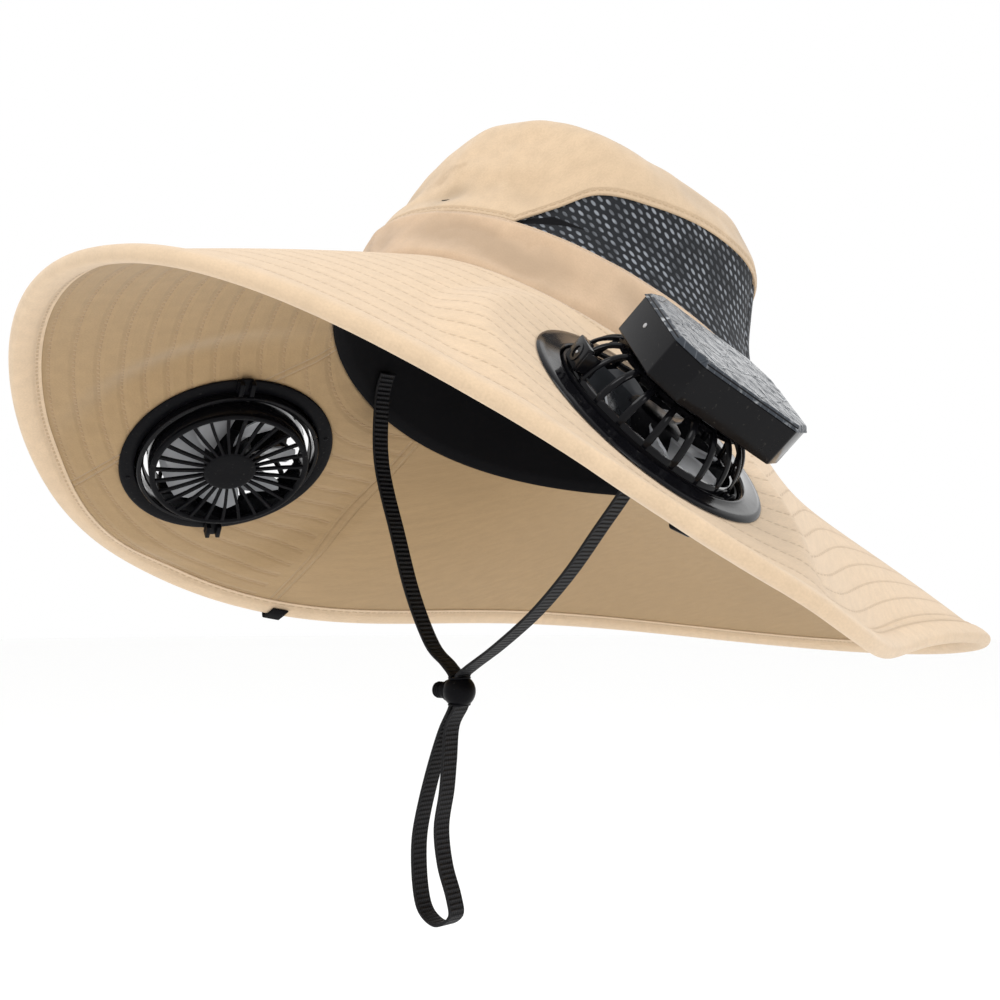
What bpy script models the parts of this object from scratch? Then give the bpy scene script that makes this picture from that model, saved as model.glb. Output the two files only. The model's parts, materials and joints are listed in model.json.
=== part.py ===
"""Wide sun hat with two tilting fans in its brim, each under a solar box.

Metres. +X is the wearer's left, -Y is the front and +Z is up. The origin is the
centre of the head opening, where the hat sits. The hat is worn tipped back, so
its pieces hang from an empty that is turned about X. The chin strap and its
toggle hang plumb, so they are placed upright.
"""
import math
from collections import namedtuple

import bmesh
import bpy
from mathutils import Matrix, Vector

# Pose of the hat on the head
TIP_BACK = math.radians(24.3)

# Head opening, an oval that rises at the front and the back
OPENING_LENGTH = 0.2046
OPENING_WIDTH = 0.1810
OPENING_RISE = 0.0076

# Brim, measured from the centre of the opening to its rim
RIM_FRONT = 0.213
RIM_SIDE = 0.190
RIM_BACK = 0.277
RIM_DROP = 0.0655
BRIM_SAG = 0.0058
SAG_ALL_ROUND = -0.36
SAG_AT_FRONT = -0.345
BRIM_WALL = 0.0024
BRIM_SEAM = 0.0014

# Waves of the soft rim, as shares of RIM_DROP in height and of RIM_SIDE in reach
Wave = namedtuple("Wave", "order height_cos height_sin reach_cos reach_sin")
RIM_WAVES = (
    Wave(0, 0.000, 0.000, -0.048, 0.000),
    Wave(1, -0.435, -0.052, 0.096, -0.042),
    Wave(2, 0.504, 0.000, 0.000, 0.010),
    Wave(3, -0.023, 0.000, -0.096, 0.000),
    Wave(4, 0.014, 0.000, 0.048, 0.000),
)

# Binding that wraps the edge of the brim
BINDING_WIDTH = 0.0095
BINDING_WALL = 0.0008
BINDING_NOSE = 0.0012
BINDING_SLACK = 0.0012

# Crown, as shares of its height, and of the opening's length and width
CROWN_HEIGHT = 0.0959
CROWN_LEAN = -0.0038
CLOTH_WALL = 0.0015
Section = namedtuple("Section", "climb height length width")
CROWN_PROFILE = (
    Section(0.00, 0.000, 1.000, 1.000),
    Section(0.15, 0.150, 0.950, 0.955),
    Section(0.30, 0.300, 0.900, 0.910),
    Section(0.48, 0.480, 0.840, 0.855),
    Section(0.66, 0.660, 0.817, 0.815),
    Section(0.80, 0.800, 0.788, 0.765),
    Section(0.90, 0.895, 0.749, 0.700),
    Section(1.00, 0.965, 0.675, 0.610),
    Section(1.12, 1.015, 0.548, 0.470),
    Section(1.28, 1.045, 0.372, 0.310),
    Section(1.46, 1.060, 0.176, 0.150),
    Section(1.60, 1.065, 0.000, 0.000),
)

# Soft dents of the crown: places in degrees from the front and in climb, depth
# as a share of the crown's height
Dent = namedtuple("Dent", "turn climb turn_spread climb_spread depth")
CROWN_DENTS = (
    Dent(35, 1.20, 40, 0.25, 0.018),
    Dent(-60, 0.95, 22, 0.20, 0.030),
    Dent(95, 0.90, 16, 0.22, 0.026),
    Dent(150, 0.70, 24, 0.25, 0.030),
    Dent(-130, 0.60, 20, 0.25, 0.028),
    Dent(104, 0.98, 22, 0.26, -0.075),
    Dent(36, 0.98, 26, 0.18, -0.050),
    Dent(-26, 0.36, 30, 0.28, -0.056),
)

# Band and mesh vents of the crown, as climbs of its profile
BAND_TOP = 0.31
BAND_FOOT = -0.013
VENT_START = 30.0
VENT_BACK_SEAM = 0.3
VentEdge = namedtuple("VentEdge", "turn climb")
VENT_UPPER_EDGE = (
    VentEdge(30, 0.33),
    VentEdge(38, 0.46),
    VentEdge(48, 0.60),
    VentEdge(65, 0.68),
    VentEdge(90, 0.76),
    VentEdge(120, 0.77),
    VentEdge(180, 0.74),
)
PANEL_GAP = 0.007

# Black sweatband inside the crown
SWEATBAND_WALL = 0.0012
SWEATBAND_TOP = 0.42

# Fan seats in the brim: the centre lies between the opening and the rim
FAN_TURN = math.radians(64.8)
FAN_REACH = 0.436
FLANGE_RADIUS = 0.0478
FLANGE_OPENING = 0.0385
FLANGE_WALL = 0.0013
COLLAR_WALL = 0.0021
COLLAR_DEPTH = 0.006
SEAT_MARGIN = 0.016
SEAT_BLEND = 0.020

# Fan heads, which tilt in the flange
HEAD_RADIUS = 0.0350
HEAD_WALL = 0.0016
HEAD_FOOT = 0.0095
DOME_START = 0.0020
DOME_TOP = 0.0191
DOME_FLAT = 0.0210
TILT_ANGLE = math.radians(50)
HEAD_LEAN = math.radians(-3.5)
CAGE_WINDOWS = 20
GRILLE_WALL = 0.0018
GRILLE_WINDOWS = 27
HUB_RADIUS = 0.0115
ROTOR_RADIUS = 0.0290
ROTOR_BLADES = 7
BLADE_PITCH = math.radians(32)
PIVOT_RADIUS = 0.0030
CLIP_LENGTH = 0.0090
CLIP_WIDTH = 0.0075
CLIP_HEIGHT = 0.0042

# Solar box on the head, its cell and the charging port
BOX_LENGTH = 0.060
BOX_WIDTH = 0.052
BOX_HEIGHT = 0.0158
BOX_CHAMFER = 0.009
BOX_TURN = math.radians(48)
BOX_AHEAD = 0.0050
BOX_ASIDE = 0.0040
CELL_MARGIN = 0.004
CELL_WALL = 0.0009
PORT_TURN = math.radians(85)
PORT_WIDTH = 0.011
PORT_HEIGHT = 0.008
PORT_DEPTH = 0.0024
SOCKET_RADIUS = 0.0022

# Small tab folded over the rim
TAB_TURN = math.radians(-99)
TAB_WIDTH = 0.011
TAB_LENGTH = 0.012
TAB_WALL = 0.0008

# Chin strap, a flat webbing loop that hangs in an upright plane
STRAP_WIDTH = 0.009
STRAP_WALL = 0.0013
STRAP_TURN_LEFT = math.radians(83)
STRAP_TURN_RIGHT = math.radians(-75)
STRAP_PLANE_OFFSET = -0.0207
STRAP_STEPS = 2
StrapPoint = namedtuple("StrapPoint", "along height")
STRAP_ROUTE = (
    StrapPoint(-0.0795, 0.0165),
    StrapPoint(-0.0832, 0.0050),
    StrapPoint(-0.0830, -0.0240),
    StrapPoint(-0.0716, -0.0571),
    StrapPoint(-0.0616, -0.0830),
    StrapPoint(-0.0495, -0.1040),
    StrapPoint(-0.0396, -0.1120),
    StrapPoint(-0.0346, -0.1170),
    StrapPoint(-0.0342, -0.1232),
    StrapPoint(-0.0346, -0.1296),
    StrapPoint(-0.0405, -0.1397),
    StrapPoint(-0.0472, -0.1558),
    StrapPoint(-0.0535, -0.1750),
    StrapPoint(-0.0562, -0.1890),
    StrapPoint(-0.0553, -0.2056),
    StrapPoint(-0.0516, -0.2164),
    StrapPoint(-0.0425, -0.2208),
    StrapPoint(-0.0340, -0.2164),
    StrapPoint(-0.0352, -0.2085),
    StrapPoint(-0.0404, -0.1960),
    StrapPoint(-0.0427, -0.1810),
    StrapPoint(-0.0398, -0.1656),
    StrapPoint(-0.0384, -0.1526),
    StrapPoint(-0.0370, -0.1383),
    StrapPoint(-0.0317, -0.1296),
    StrapPoint(-0.0312, -0.1232),
    StrapPoint(-0.0310, -0.1170),
    StrapPoint(-0.0262, -0.1132),
    StrapPoint(-0.0098, -0.1035),
    StrapPoint(0.0106, -0.0893),
    StrapPoint(0.0288, -0.0729),
    StrapPoint(0.0443, -0.0558),
    StrapPoint(0.0590, -0.0392),
    StrapPoint(0.0710, -0.0210),
    StrapPoint(0.0816, -0.0045),
    StrapPoint(0.0798, 0.0095),
)

# Ball toggle on the strap
TOGGLE_RADIUS = 0.0070
TOGGLE_ALONG = -0.0327
TOGGLE_HEIGHT = -0.1232
BUTTON_RADIUS = 0.0033
BUTTON_BORE = 0.0037
BUTTON_LENGTH = 0.0080
BUTTON_REACH = 0.0136
SLOT_WIDTH = 0.0102
SLOT_DEPTH = 0.0064

# Clearances and mesh steps
GAP = 0.0004
WELD = 0.00002
SLOPE_STEP = 0.03
TURN_STEPS = 54
BRIM_ROWS = 10
EDGE_ROW = 1.3
CROWN_STEPS = 36
CROWN_ROWS = 6
VENT_STEPS = 15
FLANGE_STEPS = 36

SIDES = (("left", 1), ("right", -1))
BLACK_PLASTIC = ((0.012, 0.012, 0.014), 0.28, 0.0)
BLACK_CLOTH = ((0.010, 0.010, 0.012), 0.85, 0.0)
SAND_CLOTH = ((0.80, 0.62, 0.42), 0.80, 0.0)
DARK_CELL = ((0.015, 0.020, 0.035), 0.12, 0.0)

for leftover in list(bpy.data.objects):
    bpy.data.objects.remove(leftover)

PARTS = bpy.data.collections.new("solar_fan_hat")
CUTTERS = bpy.data.collections.new("cutters")
bpy.context.scene.collection.children.link(PARTS)
bpy.context.scene.collection.children.link(CUTTERS)


# Plain helpers

def smooth_step(value):
    """Ease a value from 0 to 1, flat at both ends."""
    value = min(max(value, 0.0), 1.0)
    return value * value * (3.0 - 2.0 * value)


def between(rows, key, column, value):
    """Read a table's column at a value of its key column, in straight runs."""
    low, high = rows[0], rows[1]
    for low, high in zip(rows, rows[1:]):
        if value <= getattr(high, key):
            break
    span = getattr(high, key) - getattr(low, key)
    share = (value - getattr(low, key)) / span
    return getattr(low, column) + (getattr(high, column) - getattr(low, column)) * share


def finish(name, colour, roughness, metallic):
    """Make a plain material."""
    material = bpy.data.materials.new(name)
    material.use_nodes = True
    shader = material.node_tree.nodes["Principled BSDF"]
    shader.inputs["Base Color"].default_value = (*colour, 1.0)
    shader.inputs["Roughness"].default_value = roughness
    shader.inputs["Metallic"].default_value = metallic
    return material


def place(name, mesh, look, parent=None, matrix=None, collection=PARTS):
    """Link a mesh as an object under its parent, with its own material."""
    piece = bpy.data.objects.new(name, mesh)
    collection.objects.link(piece)
    mesh.materials.append(finish(name, *look))
    if parent is not None:
        piece.parent = parent
    if matrix is not None:
        piece.matrix_local = matrix
    return piece


def empty(name, parent=None, matrix=None):
    """Add an empty that carries other pieces."""
    carrier = bpy.data.objects.new(name, None)
    PARTS.objects.link(carrier)
    if parent is not None:
        carrier.parent = parent
    if matrix is not None:
        carrier.matrix_local = matrix
    return carrier


def as_cutter(name, mesh, parent, matrix=None):
    """Link a mesh as a hidden cutter."""
    cutter = place(name, mesh, BLACK_PLASTIC, parent, matrix, CUTTERS)
    cutter.hide_render = True
    cutter.display_type = "WIRE"
    return cutter


def cut(piece, cutter):
    """Take a cutter's shape out of a piece."""
    step = piece.modifiers.new("cut", "BOOLEAN")
    step.operation = "DIFFERENCE"
    step.solver = "EXACT"
    step.object = cutter


def thicken(piece, wall, offset):
    """Give an open surface a wall."""
    step = piece.modifiers.new("wall", "SOLIDIFY")
    step.thickness = wall
    step.offset = offset


def grid_mesh(name, columns, rows, point, closed=False):
    """Bend a grid of faces to point(u, v), and weld the edges that meet."""
    mesh = bpy.data.meshes.new(name)
    bm = bmesh.new()
    bmesh.ops.create_grid(bm, x_segments=columns, y_segments=rows, size=0.5)
    for vert in bm.verts:
        vert.co = point(vert.co.x + 0.5, vert.co.y + 0.5)
    bmesh.ops.remove_doubles(bm, verts=bm.verts, dist=WELD)
    if closed:
        bmesh.ops.recalc_face_normals(bm, faces=bm.faces)
    bm.to_mesh(mesh)
    bm.free()
    mesh.shade_smooth()
    return mesh


def turned(name, profile, steps):
    """Turn a profile of radius and height about Z, its outer side running down."""
    mesh = bpy.data.meshes.new(name)
    bm = bmesh.new()
    corners = [bm.verts.new((radius, 0.0, height)) for radius, height in profile]
    for start, end in zip(corners, corners[1:]):
        bm.edges.new((start, end))
    if profile[0][0] > 0.0:
        bm.edges.new((corners[-1], corners[0]))
    bmesh.ops.spin(
        bm,
        geom=list(bm.verts) + list(bm.edges),
        cent=(0, 0, 0),
        axis=(0, 0, 1),
        angle=math.tau,
        steps=steps,
        use_merge=True,
    )
    bmesh.ops.remove_doubles(bm, verts=bm.verts, dist=WELD)
    bmesh.ops.recalc_face_normals(bm, faces=bm.faces)
    bm.to_mesh(mesh)
    bm.free()
    mesh.shade_smooth()
    mesh.set_sharp_from_angle(angle=math.radians(35))
    return mesh


def box_mesh(name, size, chamfer=0.0, segments=1):
    """Make a box about the origin, its upright edges cut off by a chamfer."""
    mesh = bpy.data.meshes.new(name)
    bm = bmesh.new()
    bmesh.ops.create_cube(bm, size=1.0)
    bmesh.ops.scale(bm, vec=size, verts=bm.verts)
    if chamfer > 0.0:
        upright = [edge for edge in bm.edges if is_upright(edge)]
        bmesh.ops.bevel(
            bm,
            geom=upright,
            offset=chamfer,
            segments=segments,
            profile=0.5,
            affect="EDGES",
            material=-1,
        )
    bm.to_mesh(mesh)
    bm.free()
    return mesh


def is_upright(edge):
    """Tell whether an edge runs along Z."""
    run = edge.verts[1].co - edge.verts[0].co
    return abs(run.z) > 0.9 * run.length


def rod_mesh(name, radius, start, end, sides):
    """Make a round rod along X from start to end."""
    mesh = bpy.data.meshes.new(name)
    bm = bmesh.new()
    bmesh.ops.create_cone(
        bm,
        cap_ends=True,
        segments=sides,
        radius1=radius,
        radius2=radius,
        depth=end - start,
        matrix=Matrix.Translation(((start + end) / 2, 0, 0)) @ Matrix.Rotation(math.pi / 2, 4, "Y"),
    )
    bm.to_mesh(mesh)
    bm.free()
    return mesh


# Shape of the brim

def ring_point(turn):
    """Point of the head opening at a turn from the front towards the left."""
    return Vector((
        OPENING_WIDTH / 2 * math.sin(turn),
        -OPENING_LENGTH / 2 * math.cos(turn),
        OPENING_RISE * math.cos(2 * turn),
    ))


def rim_point(turn):
    """Point of the brim's outer rim."""
    reach = (RIM_FRONT + RIM_BACK + 2 * RIM_SIDE) / 4
    reach += (RIM_FRONT - RIM_BACK) / 2 * math.cos(turn)
    reach += (RIM_FRONT + RIM_BACK - 2 * RIM_SIDE) / 4 * math.cos(2 * turn)
    height = -RIM_DROP
    for wave in RIM_WAVES:
        cosine = math.cos(wave.order * turn)
        sine = math.sin(wave.order * turn)
        reach += RIM_SIDE * (wave.reach_cos * cosine + wave.reach_sin * sine)
        height += RIM_DROP * (wave.height_cos * cosine + wave.height_sin * sine)
    return Vector((reach * math.sin(turn), -reach * math.cos(turn), height))


def soft_brim_point(turn, share):
    """Point of the brim before the fan seats flatten it."""
    point = ring_point(turn).lerp(rim_point(turn), share)
    sag = SAG_ALL_ROUND + SAG_AT_FRONT * math.cos(turn) + math.cos(2 * turn)
    point.z += BRIM_SAG * sag * 4 * share * (1 - share)
    return point


def surface_axes(surface, turn, share):
    """Outward and upward directions of a surface at a point."""
    across = surface(turn + SLOPE_STEP, share) - surface(turn - SLOPE_STEP, share)
    outward = (surface(turn, share + SLOPE_STEP) - surface(turn, share - SLOPE_STEP)).normalized()
    upward = across.cross(outward).normalized()
    if upward.z < 0:
        upward = -upward
    return outward, upward


def edge_share(turn):
    """Share of the brim's reach where its last row of faces starts."""
    return 1 - EDGE_ROW * BINDING_WIDTH / (rim_point(turn) - ring_point(turn)).length


def edge_axes(turn):
    """Outward and upward directions of the brim's last row of faces."""
    outward = (rim_point(turn) - brim_point(turn, edge_share(turn))).normalized()
    along = rim_point(turn + SLOPE_STEP) - rim_point(turn - SLOPE_STEP)
    upward = along.cross(outward).normalized()
    return outward, upward if upward.z > 0 else -upward


def fan_frame(side):
    """Frame of a fan seat in the hat: X outward, Z up off the brim."""
    turn = side * FAN_TURN
    outward, upward = surface_axes(soft_brim_point, turn, FAN_REACH)
    along = upward.cross(outward)
    turning = Matrix((outward, along, upward)).transposed().to_4x4()
    return Matrix.Translation(soft_brim_point(turn, FAN_REACH)) @ turning


FAN_FRAMES = {side: fan_frame(side) for _, side in SIDES}


def brim_point(turn, share):
    """Point of the brim, flat where a fan is clamped to it."""
    point = soft_brim_point(turn, share)
    edge_ease = smooth_step(share / 0.1) * smooth_step((1 - share) / 0.1)
    for frame in FAN_FRAMES.values():
        local = frame.inverted() @ point
        beyond = math.hypot(local.x, local.y) - FLANGE_RADIUS - SEAT_MARGIN
        local.z *= 1 - edge_ease * (1 - smooth_step(beyond / SEAT_BLEND))
        point = frame @ local
    return point


# Shape of the crown

def crown_point(turn, climb):
    """Point of the crown's outer face."""
    height = between(CROWN_PROFILE, "climb", "height", climb)
    length = between(CROWN_PROFILE, "climb", "length", climb)
    width = between(CROWN_PROFILE, "climb", "width", climb)
    ring = ring_point(turn)
    point = Vector((
        ring.x * width,
        ring.y * length + CROWN_LEAN * height,
        ring.z * (1 - min(height, 1.0)) + CROWN_HEIGHT * height,
    ))
    inward = Vector((-ring.x, -ring.y, -0.6 * OPENING_WIDTH * smooth_step(climb - 0.6))).normalized()
    for dent in CROWN_DENTS:
        apart = math.remainder(turn - math.radians(dent.turn), math.tau)
        sideways = apart / math.radians(dent.turn_spread)
        upwards = (climb - dent.climb) / dent.climb_spread
        fade = smooth_step(climb / 0.2) * smooth_step((CROWN_PROFILE[-1].climb - climb) / 0.2)
        point += inward * CROWN_HEIGHT * dent.depth * fade * math.exp(-sideways ** 2 - upwards ** 2)
    return point


def vent_top(turn):
    """Climb of the mesh vent's upper edge."""
    degrees = abs(math.degrees(math.remainder(turn, math.tau)))
    if degrees < VENT_START - 1:
        return BAND_TOP
    return between(VENT_UPPER_EDGE, "turn", "climb", degrees)


def full_turn(share):
    """Turn from the back, round by the front and to the back again."""
    return math.tau * share - math.pi


# Cloth pieces

def crown_band(hat):
    """Band round the foot of the crown."""
    def point(u, v):
        return crown_point(full_turn(u), BAND_FOOT + (BAND_TOP - BAND_FOOT) * v)
    piece = place("crown_band", grid_mesh("crown_band", CROWN_STEPS, 2, point), SAND_CLOTH, hat)
    thicken(piece, CLOTH_WALL, -1)


def crown_top(hat):
    """Top of the crown above the band and the vents."""
    def point(u, v):
        turn = full_turn(u)
        foot = max(BAND_TOP, vent_top(turn)) + PANEL_GAP
        return crown_point(turn, foot + (CROWN_PROFILE[-1].climb - foot) * v)
    piece = place("crown_top", grid_mesh("crown_top", CROWN_STEPS, CROWN_ROWS, point), SAND_CLOTH, hat)
    thicken(piece, CLOTH_WALL, -1)


def mesh_vent(hat, name, side):
    """Mesh panel of one side, from its point at the front to the back seam."""
    first = math.radians(VENT_START)
    last = math.pi - math.radians(VENT_BACK_SEAM)

    def point(u, v):
        turn = first + (last - first) * (u if side > 0 else 1 - u)
        foot = BAND_TOP + PANEL_GAP
        return crown_point(side * turn, foot + (vent_top(turn) - foot) * v)
    piece = place("mesh_vent_" + name, grid_mesh("mesh_vent", VENT_STEPS, 3, point), BLACK_CLOTH, hat)
    thicken(piece, CLOTH_WALL, -1)


def sweatband(hat):
    """Black band inside the crown, clear of its wall."""
    def point(u, v):
        turn = full_turn(u)
        outer = crown_point(turn, BAND_FOOT + (SWEATBAND_TOP - BAND_FOOT) * v)
        inward = Vector((-outer.x, -outer.y, 0)).normalized()
        return outer + inward * (CLOTH_WALL + GAP + GAP)
    piece = place("sweatband", grid_mesh("sweatband", CROWN_STEPS, 2, point), BLACK_CLOTH, hat)
    thicken(piece, SWEATBAND_WALL, -1)


def brim(hat):
    """Whole brim, with a round hole for each fan."""
    def point(u, v):
        turn = full_turn(u)
        length = (rim_point(turn) - ring_point(turn)).length
        first = BRIM_SEAM / length
        row = round(v * BRIM_ROWS)
        if row == BRIM_ROWS:
            return rim_point(turn) - edge_axes(turn)[0] * (BINDING_NOSE + GAP)
        return brim_point(turn, first + (edge_share(turn) - first) * row / (BRIM_ROWS - 1))
    piece = place("brim", grid_mesh("brim", TURN_STEPS, BRIM_ROWS, point), SAND_CLOTH, hat)
    thicken(piece, BRIM_WALL, 0)
    for name, side in SIDES:
        hole = turned("fan_hole_" + name, round_plug(FLANGE_OPENING + COLLAR_WALL + GAP, 0.01), FLANGE_STEPS)
        cut(piece, as_cutter("fan_hole_" + name, hole, hat, FAN_FRAMES[side]))


def round_plug(radius, half_height):
    """Profile of a solid round plug."""
    return ((0.0, half_height), (radius, half_height), (radius, -half_height), (0.0, -half_height))


def wrapped_edge(turn_of, inner, wall, nose, width):
    """Point function of a channel that wraps the rim, its section turned with it."""
    section = (
        (-width, inner + wall),
        (nose * 0.4, inner + wall),
        (nose, inner * 0.6),
        (nose, -inner * 0.6),
        (nose * 0.4, -inner - wall),
        (-width, -inner - wall),
        (-width, -inner),
        (0.0, -inner),
        (0.0, inner),
        (-width, inner),
    )

    def point(u, v):
        turn = turn_of(u)
        outward, upward = edge_axes(turn)
        reach, rise = section[round(v * len(section)) % len(section)]
        return rim_point(turn) + outward * (reach - nose) + upward * rise
    return point, len(section)


def rim_binding(hat):
    """Bias binding folded over the rim."""
    inner = BRIM_WALL / 2 + BINDING_SLACK
    point, corners = wrapped_edge(full_turn, inner, BINDING_WALL, BINDING_NOSE, BINDING_WIDTH)
    mesh = grid_mesh("rim_binding", TURN_STEPS, corners, point, closed=True)
    place("rim_binding", mesh, SAND_CLOTH, hat)


def rim_tab(hat):
    """Small black tab folded over the binding."""
    inner = BRIM_WALL / 2 + BINDING_SLACK + BINDING_WALL + GAP
    half_turn = TAB_WIDTH / 2 / rim_point(TAB_TURN).length

    def tab_turn(share):
        return TAB_TURN + half_turn * (2 * share - 1)
    nose = TAB_WALL + GAP
    point, corners = wrapped_edge(tab_turn, inner, TAB_WALL, nose, TAB_LENGTH)

    def shifted(u, v):
        outward = edge_axes(tab_turn(u))[0]
        return point(u, v) + outward * (nose + GAP)
    mesh = grid_mesh("rim_tab", 2, corners, shifted)
    bm = bmesh.new()
    bm.from_mesh(mesh)
    bmesh.ops.holes_fill(bm, edges=[edge for edge in bm.edges if edge.is_boundary])
    bmesh.ops.recalc_face_normals(bm, faces=bm.faces)
    bm.to_mesh(mesh)
    bm.free()
    place("rim_tab", mesh, BLACK_CLOTH, hat)


# Fans

def flange(seat, name):
    """Plate on the brim with the collar that goes down through it."""
    top = BRIM_WALL / 2 + GAP + FLANGE_WALL
    under = BRIM_WALL / 2 + GAP
    collar = FLANGE_OPENING + COLLAR_WALL
    profile = (
        (FLANGE_OPENING, top),
        (FLANGE_RADIUS, top),
        (FLANGE_RADIUS, under),
        (collar, under),
        (collar, -COLLAR_DEPTH),
        (FLANGE_OPENING, -COLLAR_DEPTH),
    )
    place("fan_flange_" + name, turned("fan_flange", profile, FLANGE_STEPS), BLACK_PLASTIC, seat)


def under_ring(seat, name):
    """Ring that clamps the brim from below, round the collar."""
    top = -BRIM_WALL / 2 - GAP
    inner = FLANGE_OPENING + COLLAR_WALL + GAP
    profile = (
        (inner, top),
        (FLANGE_RADIUS, top),
        (FLANGE_RADIUS, top - FLANGE_WALL),
        (inner, top - FLANGE_WALL),
    )
    place("fan_under_ring_" + name, turned("fan_under_ring", profile, FLANGE_STEPS), BLACK_PLASTIC, seat)


def pivots(seat, name, side):
    """Bosses that carry the head inside the collar, and their clips below the ring."""
    first = HEAD_RADIUS + GAP
    last = FLANGE_OPENING - 1.5 * GAP
    ring_foot = BRIM_WALL / 2 + GAP + FLANGE_WALL
    clip_height = -ring_foot - GAP - CLIP_HEIGHT / 2
    clip_reach = FLANGE_OPENING + COLLAR_WALL + GAP + CLIP_LENGTH / 2
    for end, turn in (("outer", 0.0), ("inner", math.pi)):
        heading = Matrix.Rotation(side * TILT_ANGLE + turn, 4, "Z")
        boss = rod_mesh("fan_pivot", PIVOT_RADIUS, first, last, 12)
        place(f"fan_pivot_{end}_{name}", boss, BLACK_PLASTIC, seat, heading)
        clip = box_mesh("fan_clip", (CLIP_LENGTH, CLIP_WIDTH, CLIP_HEIGHT), CLIP_WIDTH / 5)
        spot = heading @ Matrix.Translation((clip_reach, 0, clip_height))
        place(f"fan_clip_{end}_{name}", clip, BLACK_PLASTIC, seat, spot)


def wedge_cutters(name, count, inner, outer, low, high, rib):
    """Ring of tapered blocks that cut windows and leave ribs between them."""
    mesh = bpy.data.meshes.new(name)
    bm = bmesh.new()
    for index in range(count):
        made = bmesh.ops.create_cube(bm, size=1.0)["verts"]
        heading = Matrix.Rotation(math.tau * (index + 0.5) / count, 4, "Z")
        for vert in made:
            radius = outer if vert.co.x > 0 else inner
            half = math.pi * radius / count - rib / 2
            height = high if vert.co.z > 0 else low
            vert.co = heading @ Vector((radius, math.copysign(half, vert.co.y), height))
    bm.to_mesh(mesh)
    bm.free()
    return mesh


def cage(head, name):
    """Domed cage of a fan, open below, with windows round its side."""
    outer = [(0.0, DOME_TOP), (DOME_FLAT, DOME_TOP)]
    inner = [(0.0, DOME_TOP - HEAD_WALL), (DOME_FLAT - HEAD_WALL, DOME_TOP - HEAD_WALL)]
    for share in (0.5, 0.0):
        swing = share * math.pi / 2
        radius = DOME_FLAT + (HEAD_RADIUS - DOME_FLAT) * math.cos(swing)
        height = DOME_START + (DOME_TOP - DOME_START) * math.sin(swing)
        outer.append((radius, height))
        inner.append((radius - HEAD_WALL, height - HEAD_WALL * math.sin(swing)))
    outer.append((HEAD_RADIUS, -HEAD_FOOT))
    inner.append((HEAD_RADIUS - HEAD_WALL, -HEAD_FOOT))
    mesh = turned("fan_cage", outer + inner[::-1], CAGE_WINDOWS)
    piece = place("fan_cage_" + name, mesh, BLACK_PLASTIC, head)
    windows = wedge_cutters(
        "cage_windows_" + name,
        CAGE_WINDOWS,
        DOME_FLAT + HEAD_WALL,
        HEAD_RADIUS * 1.2,
        DOME_START + HEAD_WALL,
        DOME_TOP - 1.5 * HEAD_WALL,
        0.0026,
    )
    cut(piece, as_cutter("cage_windows_" + name, windows, head))


def grille(head, name):
    """Flat grille below the cage: rim, spokes and motor hub."""
    top = -HEAD_FOOT - GAP
    profile = (
        (0.0, top),
        (HEAD_RADIUS, top),
        (HEAD_RADIUS, top - GRILLE_WALL),
        (0.0, top - GRILLE_WALL),
    )
    piece = place("fan_grille_" + name, turned("fan_grille", profile, GRILLE_WINDOWS), BLACK_PLASTIC, head)
    windows = wedge_cutters(
        "grille_windows_" + name,
        GRILLE_WINDOWS,
        HUB_RADIUS,
        HEAD_RADIUS - 2 * HEAD_WALL,
        top - 2 * GRILLE_WALL,
        top + GRILLE_WALL,
        0.0012,
    )
    cut(piece, as_cutter("grille_windows_" + name, windows, head))


def rotor(head, name):
    """Hub with pitched blades, standing on the grille's hub."""
    foot = -HEAD_FOOT
    hub_height = HEAD_FOOT + DOME_START + 0.0045
    profile = (
        (0.0, foot + hub_height),
        (HUB_RADIUS * 0.85, foot + hub_height),
        (HUB_RADIUS * 0.95, foot + hub_height * 0.8),
        (HUB_RADIUS * 0.95, foot),
        (0.0, foot),
    )
    piece = place("fan_rotor_" + name, turned("fan_rotor", profile, 16), BLACK_PLASTIC, head)
    mesh = bpy.data.meshes.new("fan_blades")
    bm = bmesh.new()
    root = HUB_RADIUS * 0.7
    for index in range(ROTOR_BLADES):
        made = bmesh.ops.create_cube(bm, size=1.0)["verts"]
        heading = Matrix.Rotation(math.tau * index / ROTOR_BLADES, 4, "Z")
        pitch = Matrix.Rotation(BLADE_PITCH, 4, "X")
        for vert in made:
            chord = 0.0075 if vert.co.x < 0 else 0.0130
            local = Vector((0, vert.co.y * chord, vert.co.z * 0.0012))
            local = pitch @ local
            local.x = root if vert.co.x < 0 else ROTOR_RADIUS - 0.0015
            vert.co = heading @ (local + Vector((0, 0, foot + hub_height * 0.5)))
    bm.to_mesh(mesh)
    bm.free()
    join = piece.modifiers.new("blades", "BOOLEAN")
    join.operation = "UNION"
    join.solver = "EXACT"
    join.object = as_cutter("blades_" + name, mesh, head)


def solar_box(head, name, side):
    """Box that stands on the cage, with the solar cell on top."""
    middle = Matrix.Translation((BOX_AHEAD, side * BOX_ASIDE, 0))
    turn = middle @ Matrix.Rotation(side * (TILT_ANGLE + BOX_TURN), 4, "Z")
    foot = DOME_TOP + GAP
    box = box_mesh("solar_box", (BOX_LENGTH, BOX_WIDTH, BOX_HEIGHT), BOX_CHAMFER)
    place("solar_box_" + name, box, BLACK_PLASTIC, head, turn @ Matrix.Translation((0, 0, foot + BOX_HEIGHT / 2)))
    size = (BOX_LENGTH - 2 * CELL_MARGIN, BOX_WIDTH - 2 * CELL_MARGIN, CELL_WALL)
    cell = box_mesh("solar_cell", size, BOX_CHAMFER * 0.8)
    height = foot + BOX_HEIGHT + GAP + CELL_WALL / 2
    place("solar_cell_" + name, cell, DARK_CELL, head, turn @ Matrix.Translation((0, 0, height)))


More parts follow.
